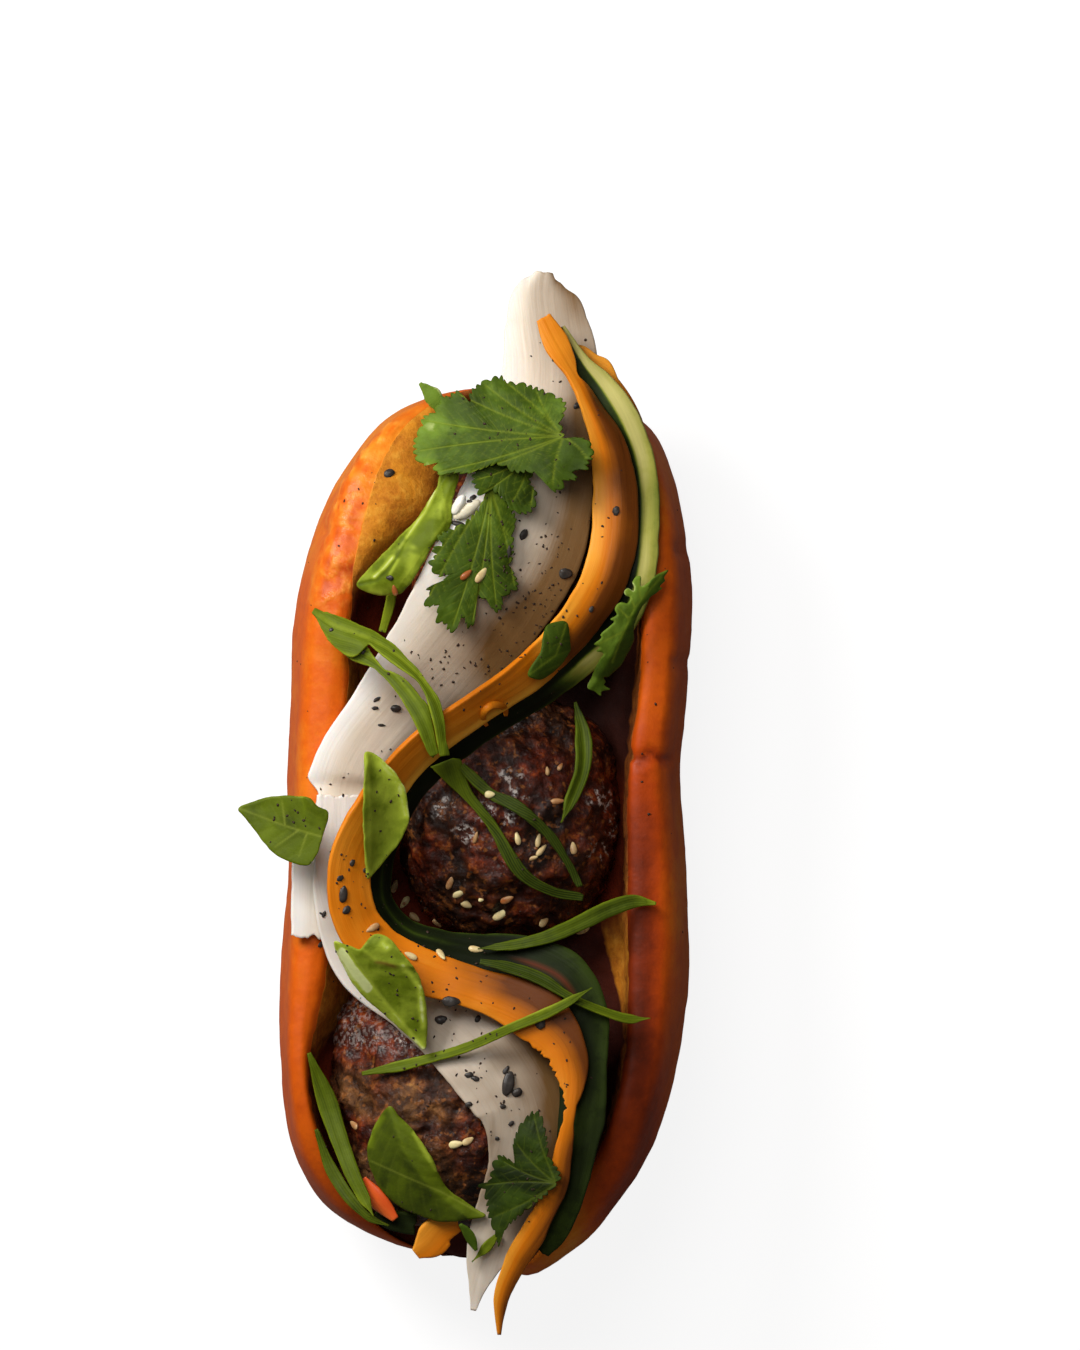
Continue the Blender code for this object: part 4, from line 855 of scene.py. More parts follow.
def leaf_look(name, light, middle, dark, vein):
    """A leaf: the layer tone gives its shade and painted shade, light and highlights; vein marks its veins and
    brown its scars.
    """
    look = Look(name, 0.62, coat=0.02, coat_roughness=0.3, subsurface=0.06, specular=0.12)
    mottle = look.noise(300.0, 5.0, 0.6)
    tone = look.varied(look.layer("tone"), mottle, 0.5, 0.6)
    # The palest stop is the colour of painted highlights.
    colour = look.ramp(tone, (0.0, 214, 222, 150), (0.16, *light), (0.5, *middle), (1.0, *dark))
    colour = look.mix(look.math("MULTIPLY", look.layer("vein"), 0.55), colour, rgb(*vein))
    colour = look.mix(look.layer("brown"), colour, rgb(104, 70, 24))
    return look.finish(colour, look.bump(look.noise(1600.0, 3.0, 0.6), 0.10, 0.6, look.bump(mottle, 0.12, 0.5)))


def speck_look(name, light, dark, roughness=0.4, coat=0.1, scale=900.0):
    """Seeds, chips and flecks: two shades in small blotches, and the darker one where the layer tone says so."""
    look = Look(name, roughness, coat, subsurface=0.05)
    spots = look.noise(scale, 4.0, 0.6)
    colour = look.ramp(look.math("SUBTRACT", spots, look.layer("tone")), (0.0, *dark), (0.62, *light))
    return look.finish(colour, look.bump(spots, 0.12, 0.6))


LOOKS = {
    "crust": crust_look(),
    "meat": meat_look(),
    # The dark colours of the daikon and carrot serve as their painted shade.
    "daikon": ribbon_look("daikon", (250, 249, 247), (224, 210, 191), (122, 90, 52), grain=0.22, coat=0.1,
                          roughness=0.42, subsurface=0.2),
    "carrot": ribbon_look("carrot", (255, 180, 60), (220, 122, 12), (104, 52, 8), coat=0.03, relief=0.12,
                          specular=0.15),
    "chilli": ribbon_look("chilli", (250, 130, 60), (226, 88, 26), (140, 44, 14)),
    "cucumber": cucumber_look(),
    "scallion": leaf_look("scallion", (150, 164, 34), (90, 106, 8), (36, 50, 6), (118, 134, 26)),
    "basil": leaf_look("basil", (164, 180, 54), (96, 112, 12), (38, 48, 8), (144, 154, 54)),
    "cilantro": leaf_look("cilantro", (112, 140, 42), (66, 88, 12), (26, 38, 6), (128, 142, 34)),
    "onion": speck_look("onion", (252, 250, 242), (214, 200, 160), coat=0.3, scale=250.0),
    "sesame": speck_look("sesame", (240, 224, 164), (160, 88, 40), coat=0.2, scale=400.0),
    "black_seed": speck_look("black_seed", (58, 52, 48), (18, 16, 15)),
    "pepper": speck_look("pepper", (64, 46, 34), (20, 15, 12), coat=0.0, roughness=0.6),
}


# ---------------------------------------------------------------- the roll

SHELF_REACH = 12.5       # how far the toasted face runs into the cut at the left of the upper end
SHELF_MIDDLE, SHELF_SPREAD = 62.0, 13.0
SHELF_SHARES = (0.0, 0.45, 1.0, 0.95, 0.6, 0.2)     # of that reach, for the last corners of the left side
SHELF_RISES = (0.03, 0.11)                          # how much higher two of them then lie, as shares of the height
LEDGE_REACH = 3.5        # how far crumb leans into the cut at the left, under the ribbons
LEDGES = ((11, 17, 28, 35), (-44, -34, -22, -14))   # where along the roll, from nothing to full and back
CORNER_DROP = 3.4        # how much further the lower end reaches beside the ribbons
CORNER_MIDDLE, CORNER_SPREAD = 8.0, 6.5
CORNER_LIMITS = (-66.0, -77.0)
RING_BLUR = 3.5          # over how many sections the roll's form is evened out
FINE_SHARE = 4           # points round the section for each one of the solid's
SOFT_ROUNDS = 10         # how often its outer side is smoothed
INNER_PARTS = (8.2, 9.4, 22.6, 23.8)     # where round the section it isn't, as numbers of the solid's points
ROLL_SPACING = 1.1       # spacing of its sections
END_ROWS = 6             # over how many of them the crust's swells fade in from either end
DOME_TURNS = np.radians(np.linspace(10, 88, 14))    # of the rings that close its ends

# Patterns on the roll: how deep they are in millimetres, the size of their waves, their octaves and their shift.
BROAD_SWELL = (0.35, 16.0, 2, 3.0)
FINE_SWELL = (0.09, 3.0, 3, 5.0)
WRINKLES = (0.35, 5.0, 2, 17.0)
PIMPLES = (0.28, 1.9, 3, 11.0)
CRUMB_ROUGH = (0.45, 2.2, 4, 9.0)
FOLD_DEPTH, CRACK_DEPTH = 0.8, 1.1

# The crust's painted shade and light: patches that darken it (lighten it, below 0), by the place on the roll.
CRUST_SHADE = 0.30
CRUST_PAINTED_SHADE = (
    # painted shade: darker to the right, towards the lower end and low down
    (0.10, ("x", -20, 30)),
    (0.10, ("y", 20, -70)),
    (0.25, ("z", 14, 0)),
    (-0.18, ("y", 35, 75), ("x", 0, -16)),                  # painted light: the upper left end is pale
    (0.38, ("y", 26, -5), ("x", 14, 24)),                   # painted shade: the right lip is dark inside
    (-0.54, ("y", 26, -5), ("x", 28, 35)),                  # and painted light makes it paler outside
    (-0.26, ("y", -40, -65), ("x", 8, 16)),                 # the lower right end
    (-0.12, ("y", 45, 60), ("x", 20, 28)),                  # painted light: the upper right end is paler, where the carrot's shadow falls
    (-0.22, ("y", -66, -78), ("x", -6, 8), ("z", 4, 24)),
)
# Painted shadows: near-black in the gaps between the middle meat and the right wall.
DEEP_PAINTED_SHADOWS = ((0.85, ("x", 8, 14), ("y", 4, 14)), (0.75, ("x", 8, 14), ("y", -12, -22)))
CRUMB_EDGE = ((-40.0, -30.0, -17.0), (25.5, 23.8, 20.0))    # along the roll, and from where across crumb shows
CUT_PARTS = (10.5, 11.3), (21.3, 20.7)   # where round the section the crumb starts at the right and at the left
OPEN_PARTS = 0.75                        # how much further it goes at the left of the upper end
LEFT_EDGE = ((36, 45, 58, 66, 72, 80), (25.8, 24.8, 22.4, 19.8, 16.3, 12.0))   # along, and how far it lies left


def pattern(points, depth, size, octaves, shift):
    return depth * waves(points, size, octaves, shift)


def roll_section(left, right, inner_left, inner_right, end_share, shelf):
    """The roll's outline across at one place: its base, its right side, the cut and its left side."""
    middle = (left + right) / 2
    slot_middle = (inner_left + inner_right) / 2
    base = END_RISE * end_share ** 2
    tall = ROLL_HEIGHT - END_DROP * end_share ** 1.6 - base
    floor = SLOT_FLOOR + FLOOR_RISE * end_share ** 3
    top = base + WALL_TOP * tall
    halves = []
    for outer, inner, reach in ((right, inner_right, 0.0), (left, inner_left, shelf)):
        half = [(middle + share * (outer - middle), base + level * tall) for share, level in SIDE]
        half += [(inner + share * (outer - inner), base + level * tall) for share, level in LIP]
        half += [(inner - share * (inner - slot_middle), floor + level * (top - floor)) for share, level in WALL]
        half = np.array(half)
        half[-6:, 0] += reach * np.array(SHELF_SHARES)
        half[-5:-3, 1] += (reach / SHELF_REACH) * tall * np.array(SHELF_RISES)
        halves.append(half)
    bed = floor + BED * (top - floor)
    return np.concatenate(([(middle, base)], halves[0], [(slot_middle, bed)], halves[1][::-1]))


def eased(outline, part):
    """The outline with the corners of its outer side rounded off."""
    soft = outline
    for _ in range(SOFT_ROUNDS):
        soft = (np.roll(soft, 1, axis=0) + 2 * soft + np.roll(soft, -1, axis=0)) / 4
    return outline + (soft - outline) * (1 - within(part, *INNER_PARTS))[:, None]


def dome(ring, reach):
    """The rings that close an end of the roll, out from its last section."""
    centre = np.array((ring[:, 0].mean(), ring[:, 1].mean(), DOME_MIDDLE * ROLL_HEIGHT))
    return [centre + (ring - centre) * math.cos(turn) + np.array((0, reach * math.sin(turn), 0))
            for turn in DOME_TURNS]


def roll_rings():
    """The roll's sections along y, and the rings that close its ends, as a grid of points."""
    sections = np.array(ROLL_SECTIONS)
    low, high = sections[0, 0], sections[-1, 0]
    rings = []
    for place in np.linspace(low, high, int((high - low) / ROLL_SPACING)):
        widths = [smooth(sections[:, 0], sections[:, column], np.array([place]))[0] for column in range(1, 5)]
        left, right = widths[:2]
        end_share = max(0.0, abs(place) - FLAT_REACH) / ((high if place > 0 else -low) - FLAT_REACH)
        shelf = SHELF_REACH * float(peak(place, SHELF_MIDDLE, SHELF_SPREAD))
        shelf += LEDGE_REACH * sum(float(within(place, *ledge)) for ledge in LEDGES)
        outline = rounded(roll_section(*widths, end_share, shelf), FINE_SHARE)
        outline = eased(outline, np.arange(len(outline)) / FINE_SHARE)
        share = (outline[:, 0] - left) / (right - left) * 2 - 1
        slant = END_SLANT * max(0.0, 1 - (place - low) / SLANT_REACH)
        rings.append(np.stack((outline[:, 0], place - slant * share, outline[:, 1]), axis=1))
    grid = np.array(dome(rings[0], -LOWER_DOME)[::-1] + rings + dome(rings[-1], UPPER_DOME))
    soft = blurred(grid.reshape(len(grid), -1), RING_BLUR).reshape(grid.shape)
    return grid + (soft - grid) * fade(from_ends(len(grid)), 1, 9)[:, None, None]


def make_roll():
    grid = roll_rings()
    rows, columns = grid.shape[:2]
    drop = CORNER_DROP * peak(grid[:, :, 0], CORNER_MIDDLE, CORNER_SPREAD)
    grid[:, :, 1] -= drop * fade(grid[:, :, 1], *CORNER_LIMITS)
    outward = np.cross(np.roll(grid, -1, axis=1) - np.roll(grid, 1, axis=1), np.gradient(grid, axis=0))
    outward = -outward / np.maximum(np.linalg.norm(outward, axis=2), 1e-9)[:, :, None]
    points, outward = grid.reshape(-1, 3), outward.reshape(-1, 3)
    part = np.tile(np.arange(columns) / FINE_SHARE, rows)   # 0 and 32 are the base, 9 and 23 the crests
    x, y, z = points.T

    # cut is 1 on the crumb inside, and wrinkle on the blistered crust at the upper left
    cut = fade(part, *CUT_PARTS[0]) * fade(part - OPEN_PARTS * fade(y, 38.0, 48.0), *CUT_PARTS[1])
    wrinkle = within(y, 34.0, 44.0, 72.0, 80.0) * fade(x + np.interp(y, *LEFT_EDGE), -8.5, -4.0) * (1 - cut)
    wrinkle *= fade(z, 28.0, 36.0) * fade(x, -4.0, -12.0)
    pimples = waves(points * (1.0, 0.8, 1.0), *PIMPLES[1:])
    swell = pattern(points, *BROAD_SWELL) + pattern(points, *FINE_SWELL) * (1 - cut)
    swell *= fade(np.repeat(from_ends(rows), columns), 0, END_ROWS)
    swell += wrinkle * (pattern(points * (0.7, 1.6, 1.0), *WRINKLES) + PIMPLES[0] * pimples)
    fold = FOLD_DEPTH * peak(y, 55.0 + 0.12 * (x + 26), 0.9) * within(x, -21.0, -23.5, -30.0, -33.0)
    fold *= fade(z, 28.0, 36.0)
    right_lip = fade(x, 24.0, 27.0) * fade(z, 24.0, 34.0)
    crack = CRACK_DEPTH * peak(y, 13.3 + 0.6 * np.sin(x * 1.3), 0.8) * right_lip * fade(x, 35.0, 33.0)
    dents = 1.4 * peak(y, 51.3, 1.3) * fade(x, 33.5, 36.0) + 0.9 * peak(y, 30.5, 1.0) * fade(x, 33.0, 35.5)
    relief = swell + pattern(points, *CRUMB_ROUGH) * cut - fold - crack - dents * fade(z, 16, 26)
    points = points + outward * relief[:, None]
    points[:, 2] = np.maximum(points[:, 2], 0.0)
    x, y, z = points.T

    # Painted shade and light in the tone: the patches, a paler crest at the top, darker in the crack, and on the
    # wrinkles painted highlights on the pimples with painted shade between them; then one dark brown spot.
    tone = CRUST_SHADE + patches(CRUST_PAINTED_SHADE, x=x, y=y, z=z) - 0.04 * peak(z, 41, 3)
    tone += 0.20 * crack + (0.08 - 0.22 * pimples) * wrinkle + 0.40 * peak(x, -24.0, 1.7) * peak(y, 47.6, 1.3)
    clean = 1 - fade(x, 0, 10) * fade(x - np.interp(y, *CRUMB_EDGE), 1.0, -0.5)
    # Sauce with painted shade: darker low in the cut; less of it as painted light where light falls on the walls,
    # and a painted shadow in the hole below the upper left leaf.
    stain = cut * fade(z, 38.0, 30.0) * (1 - 0.85 * peak(y, -27.0, 13.0) * fade(z, 20, 30) * clean)
    stain *= 1 - 0.70 * peak(y, 22.0, 9.0) * fade(z, 22, 30) * fade(x, 14, 6)
    stain *= (1 - fade(y, 50, 58) * fade(x, 4, -2)) * fade(y, 74, 68)
    stain = np.maximum(stain, 1.2 * cut * peak(x, -20.0, 6.0) * peak(y, 38.0, 6.0))
    toast = 1 - fade(x, -4, -12) * fade(y, 42.0, 50.0)
    # Painted light: paler crumb on the walls beside the meat, which lie in shade.
    toast *= 1 - 0.8 * peak(y, -25.0, 12.0) * fade(np.abs(x), 12, 20)
    toast *= 1 - 0.5 * peak(y, 22.0, 9.0) * fade(x, -12, -20)
    faces, (first, last) = tube(rows, columns)
    make("dressed_roll", points, faces + [first[::-1], last], "crust", ("roll",), tone=tone, cut=cut, stain=stain,
         toast=toast, deep=patches(DEEP_PAINTED_SHADOWS, x=x, y=y), blister=np.clip(wrinkle * (0.6 + pimples), 0, 1))


# ---------------------------------------------------------------- the meat

MEAT_DETAIL = 6          # subdivisions of the balls
CORNER_BULGE = 0.10      # how much further the balls reach where they are squeezed into the cut's corners
BULGES = {2: (0.05, 0.55, 0.06), 3: (2.25, 0.45, 0.22)}    # by lumps: way and spread in radians, and share
TOP_SQUEEZE, TOP_SHIFT = 0.88, 2.0       # the upper ball's share of its width, and how far right it lies
SHINE, SHINE_SPREAD = 0.25, 3.2          # the glaze everywhere, and in millimetres how far round a shiny spot
# Spots, as pixels, where the glaze shines and the painted highlights are put.
SHINY_SPOTS = ((510, 776), (442, 807), (464, 831), (487, 810), (502, 814), (517, 793), (600, 800), (597, 850),
               (616, 826), (536, 1000), (405, 1010), (398, 1040))


def ball_points(half_sizes, lumps):
    """The solid's uneven ball and its finer crags, around the origin."""
    round_points, faces = ball(MEAT_DETAIL)
    points = round_points * half_sizes
    outward = points / np.linalg.norm(points, axis=1)[:, None]
    shift = Vector((lumps * 7.3, 0, 0))
    big = [noise.noise(Vector(point) / MEAT_LUMP + shift) + 0.5 * noise.noise(Vector(point) * 2 / MEAT_LUMP)
           for point in points]
    level = 1 - round_points[:, 2] ** 2
    turn = np.arctan2(round_points[:, 1], round_points[:, 0])
    corners = CORNER_BULGE * np.sin(2 * turn) ** 2 * level
    if lumps in BULGES:
        way, spread, reach = BULGES[lumps]
        corners += reach * level * peak((turn - way + np.pi) % (2 * np.pi) - np.pi, 0, spread)
    points[:, :2] *= (1 + corners)[:, None]
    crags = 0.75 * waves(points, 3.4, 4, lumps) - 1.0 * np.abs(waves(points, 2.4, 3, lumps + 4.0))
    crags -= 0.55 * np.abs(waves(points, 1.3, 3, lumps + 8.0))
    return points + outward * (MEAT_RELIEF * np.array(big) + crags)[:, None], faces


def make_meatballs():
    for node, ((x, y), half_sizes, lumps) in MEATBALLS.items():
        points, faces = ball_points(half_sizes, lumps)
        if node == "meatball_top":
            points *= (TOP_SQUEEZE, 1.0, 1.0)
            x += TOP_SHIFT
        points = points + np.array((x, y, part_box(node)[0].z / MM + half_sizes[2]))
        east, north, _ = points.T
        bare = sauce = np.zeros(len(points))
        # wet: the glaze's gloss, which also places the painted highlights, strongest round the shiny spots.
        wet = np.full(len(points), SHINE)
        glints = fade(waves(points, 1.6, 2, 3.0), -0.5, 0.3)
        for spot_x, spot_y in (photo(*spot) for spot in SHINY_SPOTS):
            wet = np.maximum(wet, peak(np.hypot(east - spot_x, north - spot_y), 0.0, SHINE_SPREAD) * glints)
        if node == "meatball_bottom":
            bare = 0.95 * fade(waves(points, 9.0, 2, 2.0), -0.5, 0.35) * fade(north, -40, -50)
            bare *= 1 - 0.85 * fade(east, -10, -3)
            sauce = 0.9 * fade(north, -46, -39)
            wet = np.maximum(wet, 0.6 * sauce) * (1 - 0.8 * bare)
        if node == "meatball_middle":
            sauce = 0.8 * fade(east, 12.0, 19.0) * fade(waves(points, 7.0, 2, 6.0), -0.5, 0.2)
        make("dressed_" + node, points, faces, "meat", (node,), bare=bare, sauce=sauce, wet=wet)


# ---------------------------------------------------------------- ribbons

THICKNESS = {"daikon": 1.2, "carrot": 1.2, "chilli": 1.2, "cucumber": 1.3, "scallion": 0.6}
RIBBON_COLUMN = 0.42     # spacing of the columns of a ribbon
LEAST_REACH = 0.12       # the least distance from a strip's middle to its edge
TIP_RAGGED = 0.8         # how uneven the cut ends are

# The daikon's painted shade and light: patches that darken it (lighten it, below 0), by the distance along it and
# the share of its half width across, which is 1 at the edge to the left of its way.
UPPER_DAIKON_PAINTED_SHADE = (
    (0.62, ("share", -0.15, 0.9), ("along", 14, 26), ("along", 78, 62)),
    (-0.40, ("share", -0.1, -0.95)),
    (0.26, ("along", 34, 8)),
    (0.06, ("along", 60, 90)),
    (0.28, ("along", 22, -4), ("share", 0.2, 0.9)),
    (0.35, ("share", 0.55, 0.98), ("along", 70, 84), ("along", 110, 100)),
)
LOWER_DAIKON_PAINTED_SHADE = ((0.10, ("along", 60, 100)), (-0.46, ("along", 48, 30)), (-0.35, ("left", 22, 8)))


def alongside(strip, *pixels):
    """How far along a strip pixels of the photograph lie."""
    places = (np.array(photo(*pixel)) for pixel in pixels)
    return [strip.along[np.argmin(np.linalg.norm(strip.middle - place, axis=1))] for place in places]


def edge_waves(along, size, depth, shift):
    """Small uneven steps of an edge along its way."""
    return depth * waves(stacked(along, 0.0, 0.0), size, 3, shift)


def ribbon(node, strip, slot, shift, layers, left=None, right=None, fibre=0.07, fold=None):
    """A ribbon with uneven edges and fine grooves along it. Its layers, and how far a fold lifts it, are made
    from the distance along it, the distance across and the share of the half width across."""
    left, right = (np.maximum((strip.half if reach is None else reach) + edge_waves(strip.along, 5.0, 0.22, seed),
                              LEAST_REACH) for reach, seed in ((left, shift), (right, shift + 30)))
    columns = max(4, int(2 * strip.half.max() / RIBBON_COLUMN))
    grid, along, across, share = strip.face(left, right, columns)
    course = stacked(along, across, share)
    grooves = waves(course * (0.045, 1.0, 0.0), 0.9, 2, shift + 3.0)
    wave = 0.22 * waves(course * (1.0, 0.5, 0.0), 7.0, 2, shift + 8.0)
    if fold:
        wave = wave + fold(along, share)
    ragged = TIP_RAGGED * fade(np.minimum(along, strip.along[-1] - along), 3.5, 0.0)
    ragged = ragged * fade(strip.half, 0.8, 2.5)[:, None] * waves(stacked(0.0, across, 0.0), 1.8, 3, shift + 20.0)
    grid[:, :, :2] += strip.heading[:, None, :] * ragged[:, :, None]
    points, faces = thick(grid, THICKNESS[slot], relief=fibre * grooves, wave=wave)
    values = {name: np.tile(value.ravel(), 2) for name, value in layers(along, across, share).items()}
    make("dressed_" + node, points, faces, slot, (node,), course=np.tile(course.reshape(-1, 3), (2, 1)), **values)


def make_daikon():
    strip = Strip("daikon_upper", DAIKON_UPPER, THICKNESS["daikon"], FINE)
    crease, shaded = alongside(strip, (343, 786), (420, 610))
    step_in = 3.0 * within(strip.along, crease - 0.3, crease + 2.4, crease + 7, crease + 15)

    def upper_layers(along, across, share):
        # Painted shade: darker towards its edge by the carrot, at its upper end, at the shaded place and along the
        # crease; painted light on its other edge.
        tone = 0.46 + patches(UPPER_DAIKON_PAINTED_SHADE, along=along, share=share) + 0.26 * peak(along, shaded, 12.0)
        return {"tone": tone + 0.22 * peak(along + 1.5 * share, crease, 1.6) * fade(share, -0.8, 0.4)}

    def upper_fold(along, share):
        return -0.6 * peak(along + 1.5 * share, crease, 1.5) + 0.5 * peak(along + 1.5 * share, crease + 2.8, 2.2)

    ribbon("daikon_upper", strip, "daikon", 1.0, upper_layers, right=strip.half - step_in, fibre=0.035,
           fold=upper_fold)

    strip = Strip("daikon_lower", DAIKON_LOWER, THICKNESS["daikon"], FINE)
    hidden = within(strip.along, 4, 8, *alongside(strip, (400, 950), (425, 975)))
    left = np.minimum(strip.half, strip.half * (1 - hidden) + 2.5 * hidden)
    stained, = alongside(strip, (545, 1100))

    def lower_layers(along, across, share):
        # Painted shade and light: darker than the upper ribbon, as less light falls this low, and paler at its
        # start against the leaves' shadow; also paler at its tail and browner towards one edge beside the carrot's
        # ragged part.
        tone = 0.70 + patches(LOWER_DAIKON_PAINTED_SHADE, along=along, left=strip.along[-1] - along)
        tone = tone + 0.5 * peak(along, stained, 14.0) * fade(share, -0.3, 0.9)
        return {"tone": tone + 0.12 * waves(stacked(along, across * 2, share), 9.0, 2, 4.0)}

    ribbon("daikon_lower", strip, "daikon", 2.0, lower_layers, left=left, fibre=0.035)


def make_carrot():
    strip = Strip("carrot_ribbon", CARROT, THICKNESS["carrot"], FINE)
    along = strip.along
    ragged = within(along, *alongside(strip, (540, 1010), (556, 1020), (575, 1110), (575, 1135)))
    teeth = np.abs(((along / 1.9 + 0.35 * np.sin(along * 0.9)) % 1) * 2 - 1)
    right = strip.half - ragged * 0.9 * teeth * (0.6 + 0.4 * np.sin(along * 1.7))
    pinch, bend, low, low_end, tail, tail_end = alongside(
        strip, (573, 377), (430, 975), (590, 1040), (580, 1130), (578, 1150), (525, 1225))
    trim = within(along, low - 10, low, low_end - 4, low_end + 8)
    trim += 0.5 * within(along, tail - 4, tail + 4, tail_end - 6, tail_end + 4)
    left = strip.half - 0.9 * peak(along, pinch, 1.6) - 2.4 * np.minimum(trim, 1.0)
    lit_part = alongside(strip, (560, 640), (530, 664), (380, 775), (362, 800))

    def layers(along, across, share):
        lit = within(along, *lit_part)
        tone = 0.40 + 0.12 * waves(stacked(along * 0.4, across * 1.4, 0.0), 6.0, 2, 7.0)
        tone += 0.10 * fade(along, 110, 160) - 0.20 * fade(along, 200, 220)
        # Painted shade and light: darker towards one edge across the upper arc, which turns from the light, and
        # after the bend, in the cucumber's and scallions' shade; over the lit part one edge is paler and the other
        # darker.
        tone += within(along, 10, 20, 62, 76) * (0.85 * fade(share, -0.8, 0.5) - 0.20)
        tone += fade(along, bend - 2, bend + 18) * (0.66 * fade(share, -0.9, 0.8) - 0.03)
        tone += lit * (0.20 * fade(share, 0.1, -0.9) - 0.40 * fade(share, 0.35, 0.8))
        return {"tone": tone - 0.30 * fade(share, 0.75, 1.0) * fade(along, 150, 170)}

    def fold(along, share):
        return -0.9 * fade(share, 0.0, 1.0) ** 2 * within(along, 10, 20, 60, 74)

    ribbon("carrot_ribbon", strip, "carrot", 3.0, layers, left=left, right=right, fibre=0.06, fold=fold)
    corner = Strip("carrot_corner", CARROT_CORNER, THICKNESS["carrot"], FINE)
    outer = corner.half - 1.2 * fade(corner.along, 1.5, 5.0) - 1.6 * fade(corner.along, 6.0, 11.0)

    def corner_layers(along, across, share):
        return {"tone": 0.22 + 0.45 * fade(along, 8, 18) + 0.1 * fade(share, 0, -1)}

    ribbon("carrot_corner", corner, "carrot", 4.0, corner_layers, left=outer, fibre=0.09)


def make_cucumber():
    strip = Strip("cucumber_ribbon", CUCUMBER, THICKNESS["cucumber"], FINE)
    turn, low, streak, streak_end = alongside(strip, (560, 690), (480, 955), (518, 964), (575, 990))

    def layers(along, across, share):
        upper = fade(along, turn + 4, turn - 8)
        skin = 1.0 - 0.88 * upper * fade(share, 0.12, 0.36) * (1 - 0.25 * peak(share, 0.9, 0.25))
        skin -= 0.42 * (1 - upper) * fade(share, 0.80, 1.0) * fade(along, low + 14, low + 4)
        # Paler past the lower bend, and at the end as painted light where the carrot's shadow falls.
        skin -= 0.10 * fade(along, low, low + 20) + 0.12 * fade(along, low + 30, low + 46)
        skin -= 0.20 * fade(along, 40, 14)
        skin -= 0.22 * fade(share, -0.1, 0.9) * within(along, low + 4, low + 16, low + 28, low + 44)
        skin -= 0.30 * peak(share, 0.30, 0.14) * within(along, turn + 30, turn + 45, low - 10, low)
        skin += 0.10 * waves(stacked(along * 0.5, across, share), 5.0, 2, 12.0)
        brown = peak(share, 0.10, 0.08) * within(along, streak - 3, streak + 3, streak_end - 3, streak_end + 4)
        return {"skin": skin, "brown": brown}

    ribbon("cucumber_ribbon", strip, "cucumber", 5.0, layers)


def scrap_layers(along, across, share):
    return {"tone": 0.4 + 0.2 * share, "skin": 0.86 - 0.3 * fade(share, 0.5, 1.0), "brown": 0 * share}


def make_scraps():
    for number, (node, route, slot) in enumerate(SCRAPS):
        ribbon(node, Strip(node, route, THICKNESS[slot], LEAF_FINE), slot, 20.0 + number, scrap_layers)


# ---------------------------------------------------------------- leaves

LEAF_THICKNESS = 0.5
LEAF_WAVER = 0.14        # how far a leaf's rim wavers
VEIN_SPACING = 3.0       # between the side veins of a leaf, along its middle
VEIN_LEAN = 1.1          # how much further along a side vein is for each millimetre across
VEIN_WIDTH = 0.22        # of the side veins
MAIN_VEIN_WIDTH = 0.17
VEIN_DEPTH = 0.04        # how far a single leaf's veins are sunk
TOOTH = 1.9              # spacing of a leaf's saw teeth
BROWN_STREAK = ((373, 960), (386, 962), (401, 967))     # the scar on basil_mid, in pixels
CILANTRO_NODES = ("leaf_tip", "leaf_piece", "thin_leaf", "cilantro_right")

# The looks of the single leaves: how dark, how far they swell between their side veins, the depth of their
# saw teeth, how far the rim curls up, and how well the side veins show.
LEAF_LOOKS = {
    "leaf_tip": (0.30, 0.05, 0.10, 0.0, 0.2), "leaf_piece": (0.66, 0.06, 0.0, 0.3, 0.3),
    "basil_top": (0.44, 0.05, 0.0, 0.25, 0.0), "basil_left": (0.62, 0.05, 0.0, -0.2, 0.12),
    "basil_fold": (0.32, 0.04, 0.0, 0.3, 0.0), "basil_mid": (0.20, 0.06, 0.0, 0.3, 0.10),
    "basil_bottom": (0.80, 0.06, 0.0, 0.3, 0.12), "thin_leaf": (0.55, 0.04, 0.05, 0.0, 0.1),
    "cilantro_right": (0.55, 0.10, 0.0, 0.2, 0.1),
}


def beside_line(places, start, end):
    """How far places are to the left of a line, how far along it, and how long it is."""
    way = end - start
    length = np.linalg.norm(way)
    way = way / length
    off = places - start
    return off @ np.array((-way[1], way[0])), off @ way, length


def to_line(flat, pixels):
    """How far places are beside a line through pixels of the photograph (positive to the left of its way), how
    far along it, and how long it is."""
    corners = [np.array(photo(*pixel)) for pixel in pixels]
    nearest = np.full(flat.shape[:-1], np.inf)
    beside, along = np.zeros_like(nearest), np.zeros_like(nearest)
    passed = 0.0
    for start, end in zip(corners, corners[1:]):
        left, ahead, length = beside_line(flat, start, end)
        kept = np.clip(ahead, 0, length)
        distance = np.hypot(left, ahead - kept)
        closer = distance < nearest
        nearest = np.where(closer, distance, nearest)
        beside = np.where(closer, np.where(left > 0, distance, -distance), beside)
        along = np.where(closer, passed + kept, along)
        passed += length
    return beside, along, passed


def evenly(curve, step):
    """The closed curve with its points at even distances, and those distances."""
    closed = np.concatenate((curve, curve[:1]))
    far = np.concatenate(((0.0,), np.cumsum(np.linalg.norm(np.diff(closed, axis=0), axis=1))))
    steps = np.linspace(0, far[-1], int(far[-1] / step), endpoint=False)
    return np.stack([np.interp(steps, far, closed[:, axis]) for axis in range(2)], axis=1), steps


